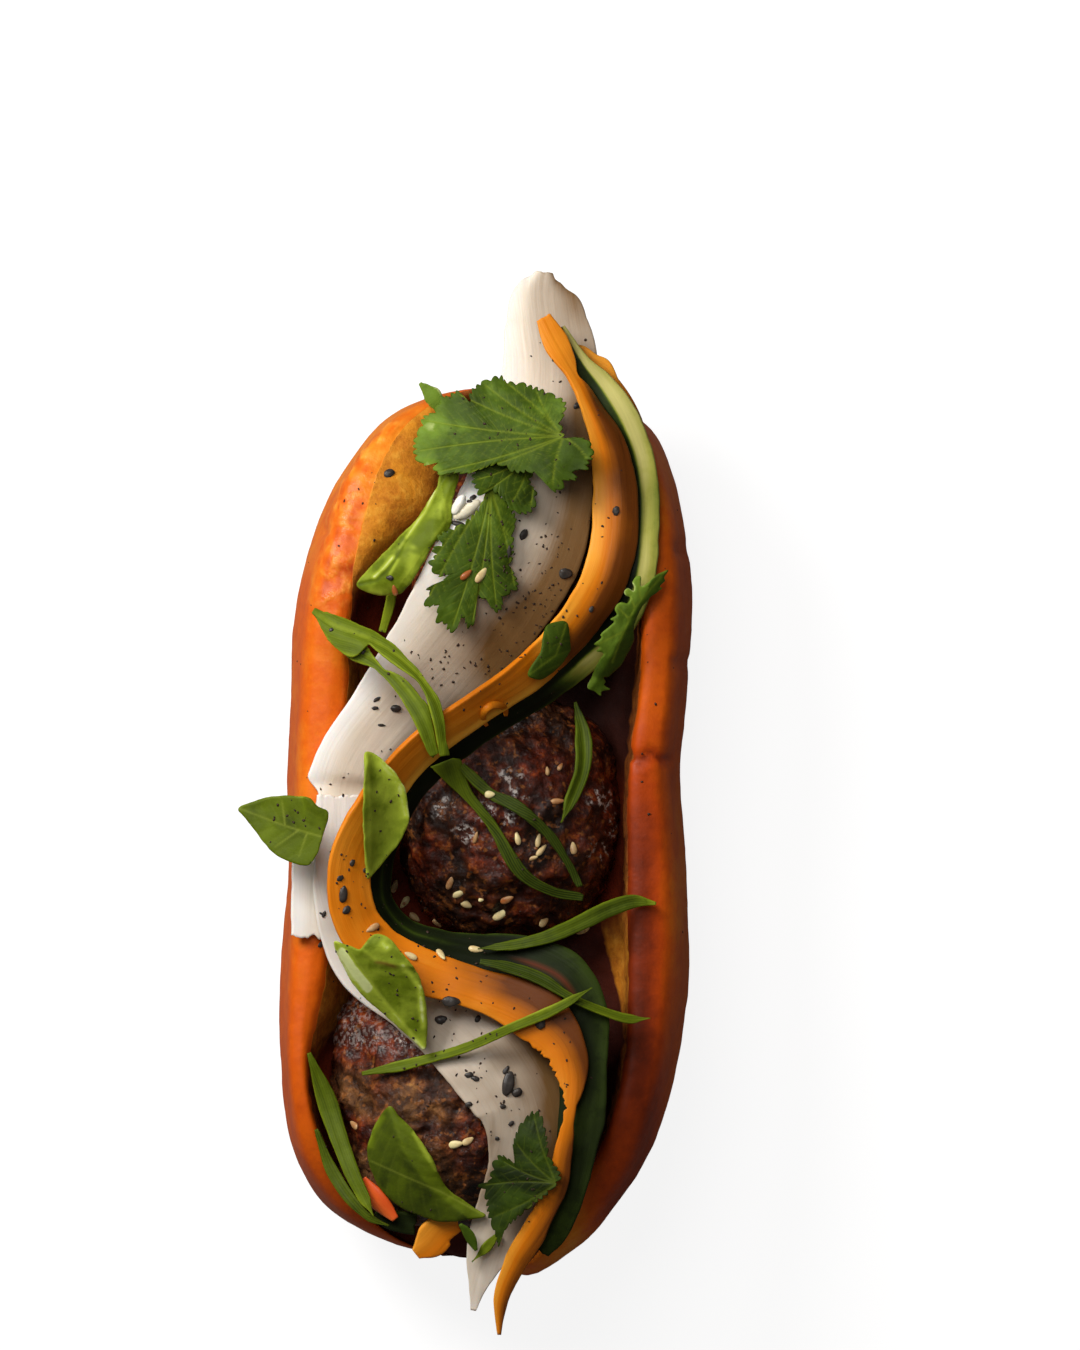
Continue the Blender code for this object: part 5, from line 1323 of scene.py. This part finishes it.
def to_rim(flat, curve):
    """How far inside a closed curve places are; below 0 outside of it."""
    inside = np.zeros(len(flat), bool)
    nearest = np.full(len(flat), np.inf)
    for start, end in zip(curve, np.roll(curve, -1, axis=0)):
        way = end - start
        off = flat - start
        share = np.clip(off @ way / max(way @ way, 1e-12), 0, 1)
        nearest = np.minimum(nearest, np.linalg.norm(off - share[:, None] * way, axis=1))
        crosses = (start[1] > flat[:, 1]) != (end[1] > flat[:, 1])
        if abs(way[1]) > 1e-12:
            inside ^= crosses & (flat[:, 0] < start[0] + (flat[:, 1] - start[1]) / way[1] * way[0])
    return np.where(inside, nearest, -nearest)


def filled(curve, step):
    """Points and triangles that fill a closed curve."""
    low, high = curve.min(axis=0), curve.max(axis=0)
    x, y = np.meshgrid(np.arange(low[0], high[0], step), np.arange(low[1], high[1], step * 0.866))
    x[1::2] += step / 2
    inner = np.stack((x.ravel(), y.ravel()), axis=1)
    inner = inner[to_rim(inner, curve) > 0.55 * step]
    count = len(curve)
    edges = [(index, (index + 1) % count) for index in range(count)]
    corners = [Vector(place) for place in np.concatenate((curve, inner))]
    found = geometry.delaunay_2d_cdt(corners, edges, [], 1, 1e-5)
    return np.array([place[:] for place in found[0]]), [tuple(face) for face in found[2]]


def open_edges(faces):
    """The edges that only one face has, in its direction."""
    edges = {edge for face in faces for edge in zip(face, face[1:] + face[:1])}
    return [(start, end) for start, end in sorted(edges) if (end, start) not in edges]


def outline_curve(pixels):
    """A closed curve through pixels of the photograph."""
    return rounded(np.array([photo(*pixel) for pixel in pixels]), OUTLINE_FINE)


def leaf_curve(node, strip, teeth, number):
    """The rim of a single leaf, from its outline in the photograph or else by its width along its route."""
    if node in OUTLINES:
        curve = outline_curve(OUTLINES[node])
    else:
        reach = (strip.half + teeth * (((strip.along / TOOTH) % 1) - 0.5))[:, None] * strip.side
        curve = np.concatenate((strip.middle + reach, (strip.middle - reach)[::-1]))
    curve, _ = evenly(curve, LEAF_FINE * 0.8)
    place = stacked(*curve.T, 0.0)
    return curve + LEAF_WAVER * stacked(*(waves(place, 2.2, 2, number * 5.0 + shift) for shift in (0.0, 2.5)))


def make_leaf(node, route, number):
    shade, swell, teeth, curl, ribs = LEAF_LOOKS[node]
    strip = Strip(node, route, LEAF_THICKNESS, LEAF_FINE)
    curve = leaf_curve(node, strip, teeth, number)
    flat, faces = filled(curve, LEAF_FINE)
    along, across, height, half = strip.locate(flat)
    rim = np.maximum(to_rim(flat, curve), 0.0)
    share = np.clip(across / np.maximum(half, LEAST_HALF), -FACE_REACH, FACE_REACH)
    place = stacked(along, across, 0.0)

    vein = np.zeros(len(flat))
    for line in LEAF_VEINS.get(node, ()):
        beside, ahead, length = to_line(flat, line)
        vein = np.maximum(vein, peak(beside, 0.0, MAIN_VEIN_WIDTH) * (1 - 0.5 * ahead / length))
    wander = 0.5 * waves(place, 8.0, 2, number + 1.0)
    phase = ((along - VEIN_LEAN * np.abs(across) + wander) / VEIN_SPACING + 0.25 * (across > 0)) % 1 - 0.5
    wide = fade(half, 1.5, 3.0)
    vein = np.maximum(vein, ribs * peak(phase * VEIN_SPACING, 0.0, VEIN_WIDTH) * wide)

    height += swell * wide * (0.5 - 0.5 * np.cos(2 * np.pi * phase)) + curl * share ** 2 * half / 4.0
    height += 0.24 * waves(place, 6.5, 2, number + 9.0) * fade(np.abs(share), 0.2, 1.0)
    tone = shade + 0.14 * waves(place, 4.0, 3, number + 4.0) - 0.14 * fade(rim, 0.4, 0.1)
    # Creases: painted shade on one side of each, darker along a sunk one, and a painted highlight along a raised
    # one.
    for line, rise, width, darker in CREASES.get(node, ()):
        beside = to_line(flat, line)[0]
        height += rise * peak(beside, 0.0, width)
        tone += darker * fade(beside, -0.3, 0.5) + (0.25 if rise < 0 else -0.10) * peak(beside, 0.0, 0.35)
    # Painted highlights: pale streaks where the leaf shines.
    for line, width, strength in PAINTED_GLINTS.get(node, ()):
        beside, ahead, length = to_line(flat, line)
        tone -= strength * peak(beside, 0.0, width) * within(ahead, 0.0, 1.0, length - 1, length)
    if node == "cilantro_right":
        tone += 0.25 * (fade(flat[:, 1], 42, 30) - fade(flat[:, 1], 28.5, 27))
    brown = np.zeros(len(flat))
    if node == "basil_mid":
        beside, ahead, length = to_line(flat, BROWN_STREAK)
        brown = 0.8 * peak(beside, 0.0, 0.35) * within(ahead, 0.0, 1.0, length - 1.5, length)

    sink = LEAF_THICKNESS * np.interp(rim, EDGE_STEPS, EDGE_SINK)
    upper = stacked(*flat.T, height - VEIN_DEPTH * vein - sink)
    lower = stacked(*flat.T, height - LEAF_THICKNESS + sink)
    under = len(flat)
    faces += [tuple(under + corner for corner in face[::-1]) for face in faces] + [
        (end, start, under + start, under + end) for start, end in open_edges(faces)]
    slot = "cilantro" if node in CILANTRO_NODES else "basil"
    make("dressed_" + node, np.concatenate((upper, lower)), faces, slot, (node,), tone=np.tile(tone, 2),
         vein=np.tile(vein, 2), brown=np.tile(brown, 2))


# ---------------------------------------------------------------- scallion blades

BLADE_COLUMN = 0.16      # spacing of the columns of a blade
BLADE_LINES = 0.42       # between the lines that run along a blade
BLADE_HOLLOW = 0.22      # how far its middle lies below its edges
BLADE_RIB = 0.03         # how far the lines stand out
BLADE_TIP = 3.5          # length of its narrowing end
BLADE_SHADES = {"scallion_loop_a": 0.62, "scallion_loop_b": 0.80, "scallion_blade": 0.86, "scallion_corner_a": 0.56,
                "scallion_corner_b": 0.78, "scallion_right": 0.54, "scallion_right_blade": 0.80, "stem": 0.34,
                "scallion_split_a": 0.50, "scallion_split_b": 0.56}
PLAIN_SHADE = 0.50       # of the others
STEM_NUMBER = 40


def traced(strip, outline):
    """How far an outline reaches to the left and to the right of each row of a strip."""
    curve = outline_curve(outline)
    gaps = np.linalg.norm(strip.middle[:, None, :] - curve[None, :, :], axis=2)
    row = gaps.argmin(axis=0)
    across = ((curve - strip.middle[row]) * strip.side[row]).sum(axis=1)
    first = np.roll(np.arange(len(row)), -int(np.argmin(gaps[0])))
    row, across = row[first], across[first]
    last = int(np.argmin(gaps[-1][first]))
    rows = np.arange(len(strip.along))
    sides = []
    for part in (slice(0, last + 1), slice(last, None)):
        order = np.argsort(row[part], kind="stable")
        sides.append(np.interp(rows, row[part][order], across[part][order]))
    left, right = np.maximum(*sides), -np.minimum(*sides)
    slim = np.maximum(LEAST_HALF - (left + right), 0) / 2
    return left + slim, right + slim


def make_blade(node, route, number):
    strip = Strip(node, route, THICKNESS["scallion"], LEAF_FINE)
    half = strip.half + edge_waves(strip.along, 4.0, 0.10, number * 3.0)
    if node != "stem":
        tip = fade(strip.along, strip.along[-1] - BLADE_TIP, strip.along[-1])
        half = np.maximum(half * (1 - 0.75 * tip), LEAST_REACH)
    left, right = traced(strip, OUTLINES[node]) if node in OUTLINES else (half, half)
    grid, along, across, share = strip.face(left, right, max(6, int((left + right).max() / BLADE_COLUMN)))
    share = np.clip(share, -FACE_REACH, FACE_REACH)
    course = stacked(along * 0.04, across, 0.0)
    lines = peak((across / BLADE_LINES + 0.3 * waves(course, 1.0, 1, number)) % 1 - 0.5, 0.0, 0.22)
    wave = 0.12 * waves(stacked(along, across, 0.0), 3.5, 2, number)
    wave -= BLADE_HOLLOW * peak(share, 0.0, 0.4) * fade(half, 0.8, 1.4)[:, None]
    points, faces = thick(grid, THICKNESS["scallion"], relief=BLADE_RIB * lines, wave=wave)
    tone = BLADE_SHADES.get(node, PLAIN_SHADE) + 0.22 * waves(course * (1.0, 0.8, 0.0), 0.8, 2, number + 2.0)
    rim = np.minimum(left[:, None] - across, across + right[:, None])
    tone -= 0.22 * fade(rim, 0.5, 0.1) * fade(half, 0.6, 1.2)[:, None]
    if node == "scallion_right_blade":
        tone -= 0.55 * fade(along, 5, 0)
    if node.startswith("scallion_loop"):
        tone += 0.45 * fade(along, 4, 18)
    if node == "scallion_right":
        tone += 0.45 * fade(grid[:, :, 0], 22.0, 12.0)
    make("dressed_" + node, points, faces, "scallion", (node,), tone=np.tile(tone.ravel(), 2),
         vein=np.tile(0.5 * lines.ravel(), 2))


# ---------------------------------------------------------------- lobed leaves

# Each leaf's hub, which its rings are drawn around, and how dark it is.
FAN_LOOKS = {"cilantro_mid": ((-1.0, 48.1), 0.62), "cilantro_fold": ((2.7, 64.1), 0.72),
             "cilantro_bottom": ((6.0, -62.4), 0.84), "cilantro_top": ((4.0, 70.0), 0.56)}
FAN_RIM = 0.19           # spacing of the points round a lobed leaf
FAN_RINGS = np.concatenate((np.linspace(0.03, 1.0, 34) * 0.975, (0.985, 0.994, 1.0)))
FAN_SINK = (0.03, 0.12, 0.22)              # how far the last rings sink in from either face
FAN_PROBE = 0.7          # spacing of the places where its solid's height is read
FAN_RISE = 0.25          # how far it lies above its solid's middle face
FAN_TEETH = 0.75         # depth of the teeth round it
FAN_TOOTH = 1.45         # their spacing
FAN_VEIN_DEPTH = 0.10
FURROW_DEPTH, FURROW_WIDTH = 0.12, 0.9     # of the hollow a main vein lies in
TWIG_SPACING, TWIG_WIDTH = 1.8, 0.11       # of the twigs of its veins
LEAST_GAP = 0.02         # below this, two points of an outline are one
LOBE_FOLD = ((488, 1158), (552, 1184))     # the fold between the lower leaf's lobes, in pixels, with painted shade beside it


def bends(off):
    """The terms of a bent face: level, tilts and bends, by tenths of the distances from its hub."""
    x, y = np.moveaxis(off / 10, -1, 0)
    return stacked(1.0, x, y, x * x, x * y, y * y)


def fan_heights(node, hub):
    """Where a lobed leaf's solid lies: how much it has of each of those terms."""
    low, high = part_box(node)
    x, y = np.meshgrid(np.arange(low.x / MM, high.x / MM, FAN_PROBE), np.arange(low.y / MM, high.y / MM, FAN_PROBE))
    z = heights(solid_tree(node), x, y)
    known = ~np.isnan(z)
    return np.linalg.lstsq(bends(stacked(x[known], y[known]) - hub), z[known], rcond=None)[0]


def fan_veins(flat, root, tips):
    """The veins of a lobed leaf with their twigs, and the furrows they lie in."""
    vein, furrow = np.zeros(flat.shape[:2]), np.zeros(flat.shape[:2])
    nearest = np.full(vein.shape, np.inf)
    for tip in tips:
        beside, along, length = beside_line(flat, np.array(photo(*root)), np.array(photo(*tip)))
        beside = beside + 0.5 * np.sin(along / length * 3.0) * (1 if tip[0] % 2 else -1)
        away = np.abs(beside)
        on = within(along, -0.5, 0.3, length - 0.8, length + 0.2)
        width = MAIN_VEIN_WIDTH * (1 - 0.5 * np.clip(along / length, 0, 1))
        vein = np.maximum(vein, on * peak(beside, 0.0, width + 0.03))
        furrow = np.maximum(furrow, on * peak(beside, 0.0, FURROW_WIDTH))
        branch = ((along - away) / TWIG_SPACING + 0.4 * (beside > 0)) % 1 - 0.5
        near = away < nearest
        nearest = np.where(near, away, nearest)
        twig = 0.45 * on * peak(branch * TWIG_SPACING, 0.0, TWIG_WIDTH) * fade(away, 3.2, 1.6)
        vein = np.where(near, np.maximum(vein, twig), vein)
    return vein, furrow


def make_fan(node, number):
    outline, root, tips = FANS[node]
    hub, shade = FAN_LOOKS[node]
    curve = outline_curve(outline)
    curve = curve[np.concatenate(((True,), np.linalg.norm(np.diff(curve, axis=0), axis=1) > LEAST_GAP))]
    rim, steps = evenly(curve, FAN_RIM)
    outward = rim - hub
    outward /= np.linalg.norm(outward, axis=1)[:, None]
    teeth = FAN_TEETH * (0.5 - np.abs(((steps / FAN_TOOTH + 0.3 * np.sin(steps)) % 1) * 2 - 1) ** 2.2)
    rim = rim + outward * (teeth + 0.15 * waves(stacked(*rim.T, 0.0), 1.3, 2, number))[:, None]
    flat = hub + (rim[None, :, :] - hub) * FAN_RINGS[:, None, None]
    vein, furrow = fan_veins(flat, root, tips)
    place = np.concatenate((flat, flat[:, :, :1] * 0), axis=2)
    swell = 0.22 * waves(place, 4.5, 3, number + 5.0) * fade(FAN_RINGS, 0.1, 0.6)[:, None]
    lift = 0.7 * waves(place, 7.0, 2, number + 8.0) * fade(FAN_RINGS, 0.45, 1.0)[:, None]
    z = bends(flat - hub) @ fan_heights(node, np.array(hub)) + swell + lift - FURROW_DEPTH * furrow + FAN_RISE
    sink = np.zeros((len(FAN_RINGS), 1))
    sink[-len(FAN_SINK):, 0] = FAN_SINK

    upper = np.concatenate((flat, (z - FAN_VEIN_DEPTH * vein - sink)[:, :, None]), axis=2)
    lower = np.concatenate((flat, (z - LEAF_THICKNESS + sink)[:, :, None]), axis=2)
    hub_height = z[0].mean()
    points = np.concatenate((upper.reshape(-1, 3), lower.reshape(-1, 3),
                             [(*hub, hub_height), (*hub, hub_height - LEAF_THICKNESS)]))
    rings, count = z.shape
    under = rings * count
    top, bottom = 2 * under, 2 * under + 1
    grid = quads(rings, count, wrap=True)
    faces = [tuple(face) for face in grid] + [tuple(face[::-1]) for face in grid + under]
    for index in range(count):
        ahead = (index + 1) % count
        last = (rings - 1) * count
        faces += [(top, index, ahead), (bottom, under + ahead, under + index),
                  (last + index, under + last + index, under + last + ahead, last + ahead)]
    area = np.sum(rim[:, 0] * np.roll(rim[:, 1], -1) - rim[:, 1] * np.roll(rim[:, 0], -1))
    if area < 0:
        faces = [face[::-1] for face in faces]

    # Paler where the leaf swells up: painted light on its bulges.
    tone = shade + 0.25 * waves(place, 5.0, 3, number + 2.0) - 0.12 * fade(swell, 0.0, 0.3)
    if node == "cilantro_top":
        tone -= 0.34 * fade(flat[:, :, 0], -3.0, -11.0)
    if node == "cilantro_bottom":
        vein = 0.45 * vein
        # Painted shade beside the fold between the lobes.
        tone += 0.30 * peak(to_line(flat, LOBE_FOLD)[0], -1.2, 1.3)
    make("dressed_" + node, points, faces, "cilantro", (node,),
         tone=np.append(np.tile(tone.ravel(), 2), (shade, shade)),
         vein=np.append(np.tile(vein.ravel(), 2), (0.0, 0.0)))


# ---------------------------------------------------------------- what is scattered on top

ONION_LUMPS = ((459, 505, (2.1, 1.0, 1.2), 60), (467, 510, (2.9, 1.15, 0.95), 33))    # x, y, half sizes, direction
CARROT_CURL = ((487, 726), (483, 718), (485, 710), (492, 705), (500, 705), (505, 709), (506, 716))
CURL_POINTS, CURL_SIDES = 40, 12
CURL_ARCH = 0.8          # how far the curl's middle stands up
CURL_SHADE = 0.45
SEED_TONES = (0.0, 0.0, 0.05, 0.15, 0.30)   # how brown the sesame seeds are
SEED_SINK = 0.2          # how far the middle of a seed lies above what it lies on
SEED_DETAIL, FLECK_DETAIL = 3, 1            # subdivisions
SESAME_HEIGHT = 1.0
SESAME_TAPER = 0.45      # how much narrower a seed is at its tip
rng = random.Random(7)


def round_stone(half_sizes, detail, relief, lump, shift):
    """The points and faces of a small uneven lump around the origin."""
    points, faces = ball(detail)
    return points * half_sizes + points * (relief * waves(points * half_sizes, lump, 3, shift))[:, None], faces


def make_onion():
    """A bent chunk: two lumps that run into each other."""
    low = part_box("onion_chunk")[0].z / MM
    lumps = []
    for number, (x, y, half_sizes, direction) in enumerate(ONION_LUMPS):
        shape, faces = round_stone(half_sizes, 4, 0.10, 1.6, 31.0 + number)
        turn = np.array(Matrix.Rotation(math.radians(direction), 3, "Z"))
        lumps.append((shape @ turn.T + np.array((*photo(x, y), low + half_sizes[2])), faces, 0.30 * number))
    joined("dressed_onion_chunk", lumps, "onion", "onion", ("onion_chunk",))


def make_curl():
    """A thin curl of carrot on the ribbons, as a bent rod that follows what it lies on."""
    knots = np.array([photo(*pixel) for pixel in CARROT_CURL])
    places = np.linspace(0, len(knots) - 1, CURL_POINTS)
    way = stacked(*(smooth(np.arange(len(knots)), knots[:, axis], places) for axis in range(2)))
    share = places / places[-1]
    z = blurred(heights(top_tree(), *way.T), 3.0) + 0.35 + CURL_ARCH * np.sin(np.pi * share)
    heading = np.gradient(way, axis=0)
    heading /= np.linalg.norm(heading, axis=1)[:, None]
    side = stacked(-heading[:, 1], heading[:, 0])
    radius = (0.15 + 0.55 * np.sin(np.pi * (share * 0.94 + 0.03)) ** 0.5)[:, None]
    turns = np.linspace(0, 2 * np.pi, CURL_SIDES, endpoint=False)
    flat = way[:, None, :] + side[:, None, :] * (radius * np.cos(turns))[:, :, None]
    rise = z[:, None] - 0.45 * radius * np.sin(turns)
    faces, (first, last) = tube(CURL_POINTS, CURL_SIDES)
    points = stacked(flat[:, :, 0], flat[:, :, 1], rise).reshape(-1, 3)
    make("carrot_curl", points, faces + [first, last[::-1]], "carrot", tone=np.full(rise.size, CURL_SHADE),
         course=stacked(places[:, None], turns, turns).reshape(-1, 3))


def seed_shape(length, width, thickness, taper, detail, relief, shift):
    """A small uneven lump that narrows towards one end."""
    points, faces = round_stone((0.5, 0.5, 0.5), detail, relief, 0.6, shift)
    points[:, 1:] *= (1 - taper * (points[:, 0] + 0.5))[:, None]
    return points * (length, width, thickness), faces


def lay(seeds, found, shape, direction, sink, tone):
    """Adds a shape that lies on a found surface to the seeds."""
    points, faces = shape
    seeds.append((placed(points, *found, direction, sink), faces, tone))


def sesame(length, width, shift):
    return seed_shape(length, width, SESAME_HEIGHT, SESAME_TAPER, SEED_DETAIL, 0.03, shift)


def scatter():
    """The sesame, the dark seeds and the ground pepper on top of everything."""
    tree = top_tree()
    seeds = []
    for number, pixel in enumerate(SESAME_SEEDS):
        shape = sesame(2.5 + 0.4 * rng.random(), 1.5 + 0.3 * rng.random(), number)
        lay(seeds, landing(tree, *photo(*pixel)), shape, rng.uniform(0, 360), SEED_SINK, rng.choice(SEED_TONES))
    for number, (x, y, length, width, direction, brown) in enumerate(TURNED_SEEDS):
        shape = sesame(length, width, 90 + number)
        lay(seeds, landing(tree, *photo(x, y)), shape, direction, SEED_SINK, brown)
    joined("sesame_seeds", seeds, "meat", "sesame")

    seeds = []
    for number, (x, y, length, width, direction) in enumerate(BLACK_SEEDS):
        shape = seed_shape(length, width, 0.45 * width, 0.1, SEED_DETAIL, 0.16, 50 + number)
        lay(seeds, landing(tree, *photo(x, y)), shape, direction, 0.10 * width, 0.0)
    joined("black_seeds", seeds, "meat", "black_seed")

    flecks = []
    for x, y, spread_x, spread_y, count in PEPPER_CLOUDS:
        for _ in range(count):
            place = photo(rng.gauss(x, spread_x * 0.7), rng.gauss(y, spread_y * 0.7))
            size = rng.uniform(0.25, 0.75)
            shape = seed_shape(size, size * rng.uniform(0.5, 0.9), size * 0.4, 0.2, FLECK_DETAIL, 0.2, len(flecks))
            found = landing(tree, *place)
            if found:
                lay(flecks, found, shape, rng.uniform(0, 360), 0.05, 0.0)
    joined("pepper_flecks", flecks, "meat", "pepper")


# ---------------------------------------------------------------- everything, the light and the camera

FLOOR_REACH = 3.0
FLOOR_GREY, FLOOR_GLOW = 0.86, 1.25
GLOW_SHARE = 0.70                # how much of the floor's look is its own light
BOUNCE = 0.22                    # how much light the floor throws back on the food
CAMERA_PLACE = (9.8, 28.2)       # over the middle of the photograph, in millimetres
CAMERA_RISE = 4.0                # metres above the food's upper side
FOOD_LEVEL = 0.040
SENSOR_WIDTH = 36.0
FRAME_HEIGHT = PHOTO_HEIGHT / PIXELS_PER_MM * MM
LIGHTS = (   # name, place in metres, size, power, colour
    ("key", (-0.31, 0.29, 0.39), 0.24, 2.75, (1.0, 0.98, 0.95)),
    ("top", (-0.07, 0.17, 0.48), 0.22, 0.72, (1.0, 0.98, 0.96)),
)
LIGHT_TARGET = Vector((0.0, 0.0, 0.03))
SKY_COLOUR, SKY_STRENGTH = (1.0, 0.98, 0.95, 1), 0.12


def make_floor():
    """A pale floor that glows for the camera and throws little light back."""
    mesh = bpy.data.meshes.new("floor")
    corners = [(x * FLOOR_REACH, y * FLOOR_REACH, 0) for x, y in ((-1, -1), (1, -1), (1, 1), (-1, 1))]
    mesh.from_pydata(corners, [], [(0, 1, 2, 3)])
    floor = linked("floor", mesh)
    look = Look("floor", 0.8, coat_roughness=0.1)
    look.feed(**{"Base Color": (FLOOR_GREY, FLOOR_GREY, FLOOR_GREY, 1)})
    glow = look.node("Emission", 0, {"Color": (1, 1, 1, 1), "Strength": FLOOR_GLOW})
    bright = look.node("MixShader", 0, {"Fac": GLOW_SHARE, 1: look.shader.outputs[0], 2: glow})
    dim = look.node("BsdfDiffuse", 0, {"Color": (BOUNCE, BOUNCE, BOUNCE, 1)})
    seen = look.node("MixShader", 0, {"Fac": look.node("LightPath", "Is Camera Ray"), 1: dim, 2: bright})
    look.put(look.tree.nodes["Material Output"].inputs["Surface"], seen)
    mesh.materials.append(look.material)


def area_light(name, place, size, power, colour):
    light = bpy.data.lights.new(name, "AREA")
    light.shape = "DISK"
    light.size = size
    light.energy = power
    light.color = colour
    lamp = linked(name, light)
    lamp.location = place
    lamp.rotation_mode = "QUATERNION"
    lamp.rotation_quaternion = (LIGHT_TARGET - Vector(place)).to_track_quat("-Z", "Y")


def set_camera():
    data = bpy.data.cameras.new("camera")
    camera = linked("camera", data)
    camera.location = (CAMERA_PLACE[0] * MM, CAMERA_PLACE[1] * MM, FOOD_LEVEL + CAMERA_RISE)
    data.sensor_width = SENSOR_WIDTH
    data.lens = SENSOR_WIDTH * CAMERA_RISE / FRAME_HEIGHT
    data.clip_start, data.clip_end = 0.1, 100.0
    data.dof.use_dof = False
    bpy.context.scene.camera = camera


def set_world():
    world = bpy.data.worlds.new("world")
    world.use_nodes = True
    background = world.node_tree.nodes["Background"]
    background.inputs["Color"].default_value = SKY_COLOUR
    background.inputs["Strength"].default_value = SKY_STRENGTH
    bpy.context.scene.world = world
    bpy.context.scene.view_settings.view_transform = "Standard"


make_roll()
make_meatballs()
make_daikon()
make_carrot()
make_cucumber()
make_scraps()
for number, (node, route) in enumerate(LEAVES):
    make_leaf(node, route, number)
for number, (node, route) in enumerate(BLADES):
    make_blade(node, route, number)
for number, node in enumerate(FANS):
    make_fan(node, number)
make_onion()
make_blade("stem", STEM, STEM_NUMBER)
make_curl()
scatter()

make_floor()
for light in LIGHTS:
    area_light(*light)
set_camera()
set_world()
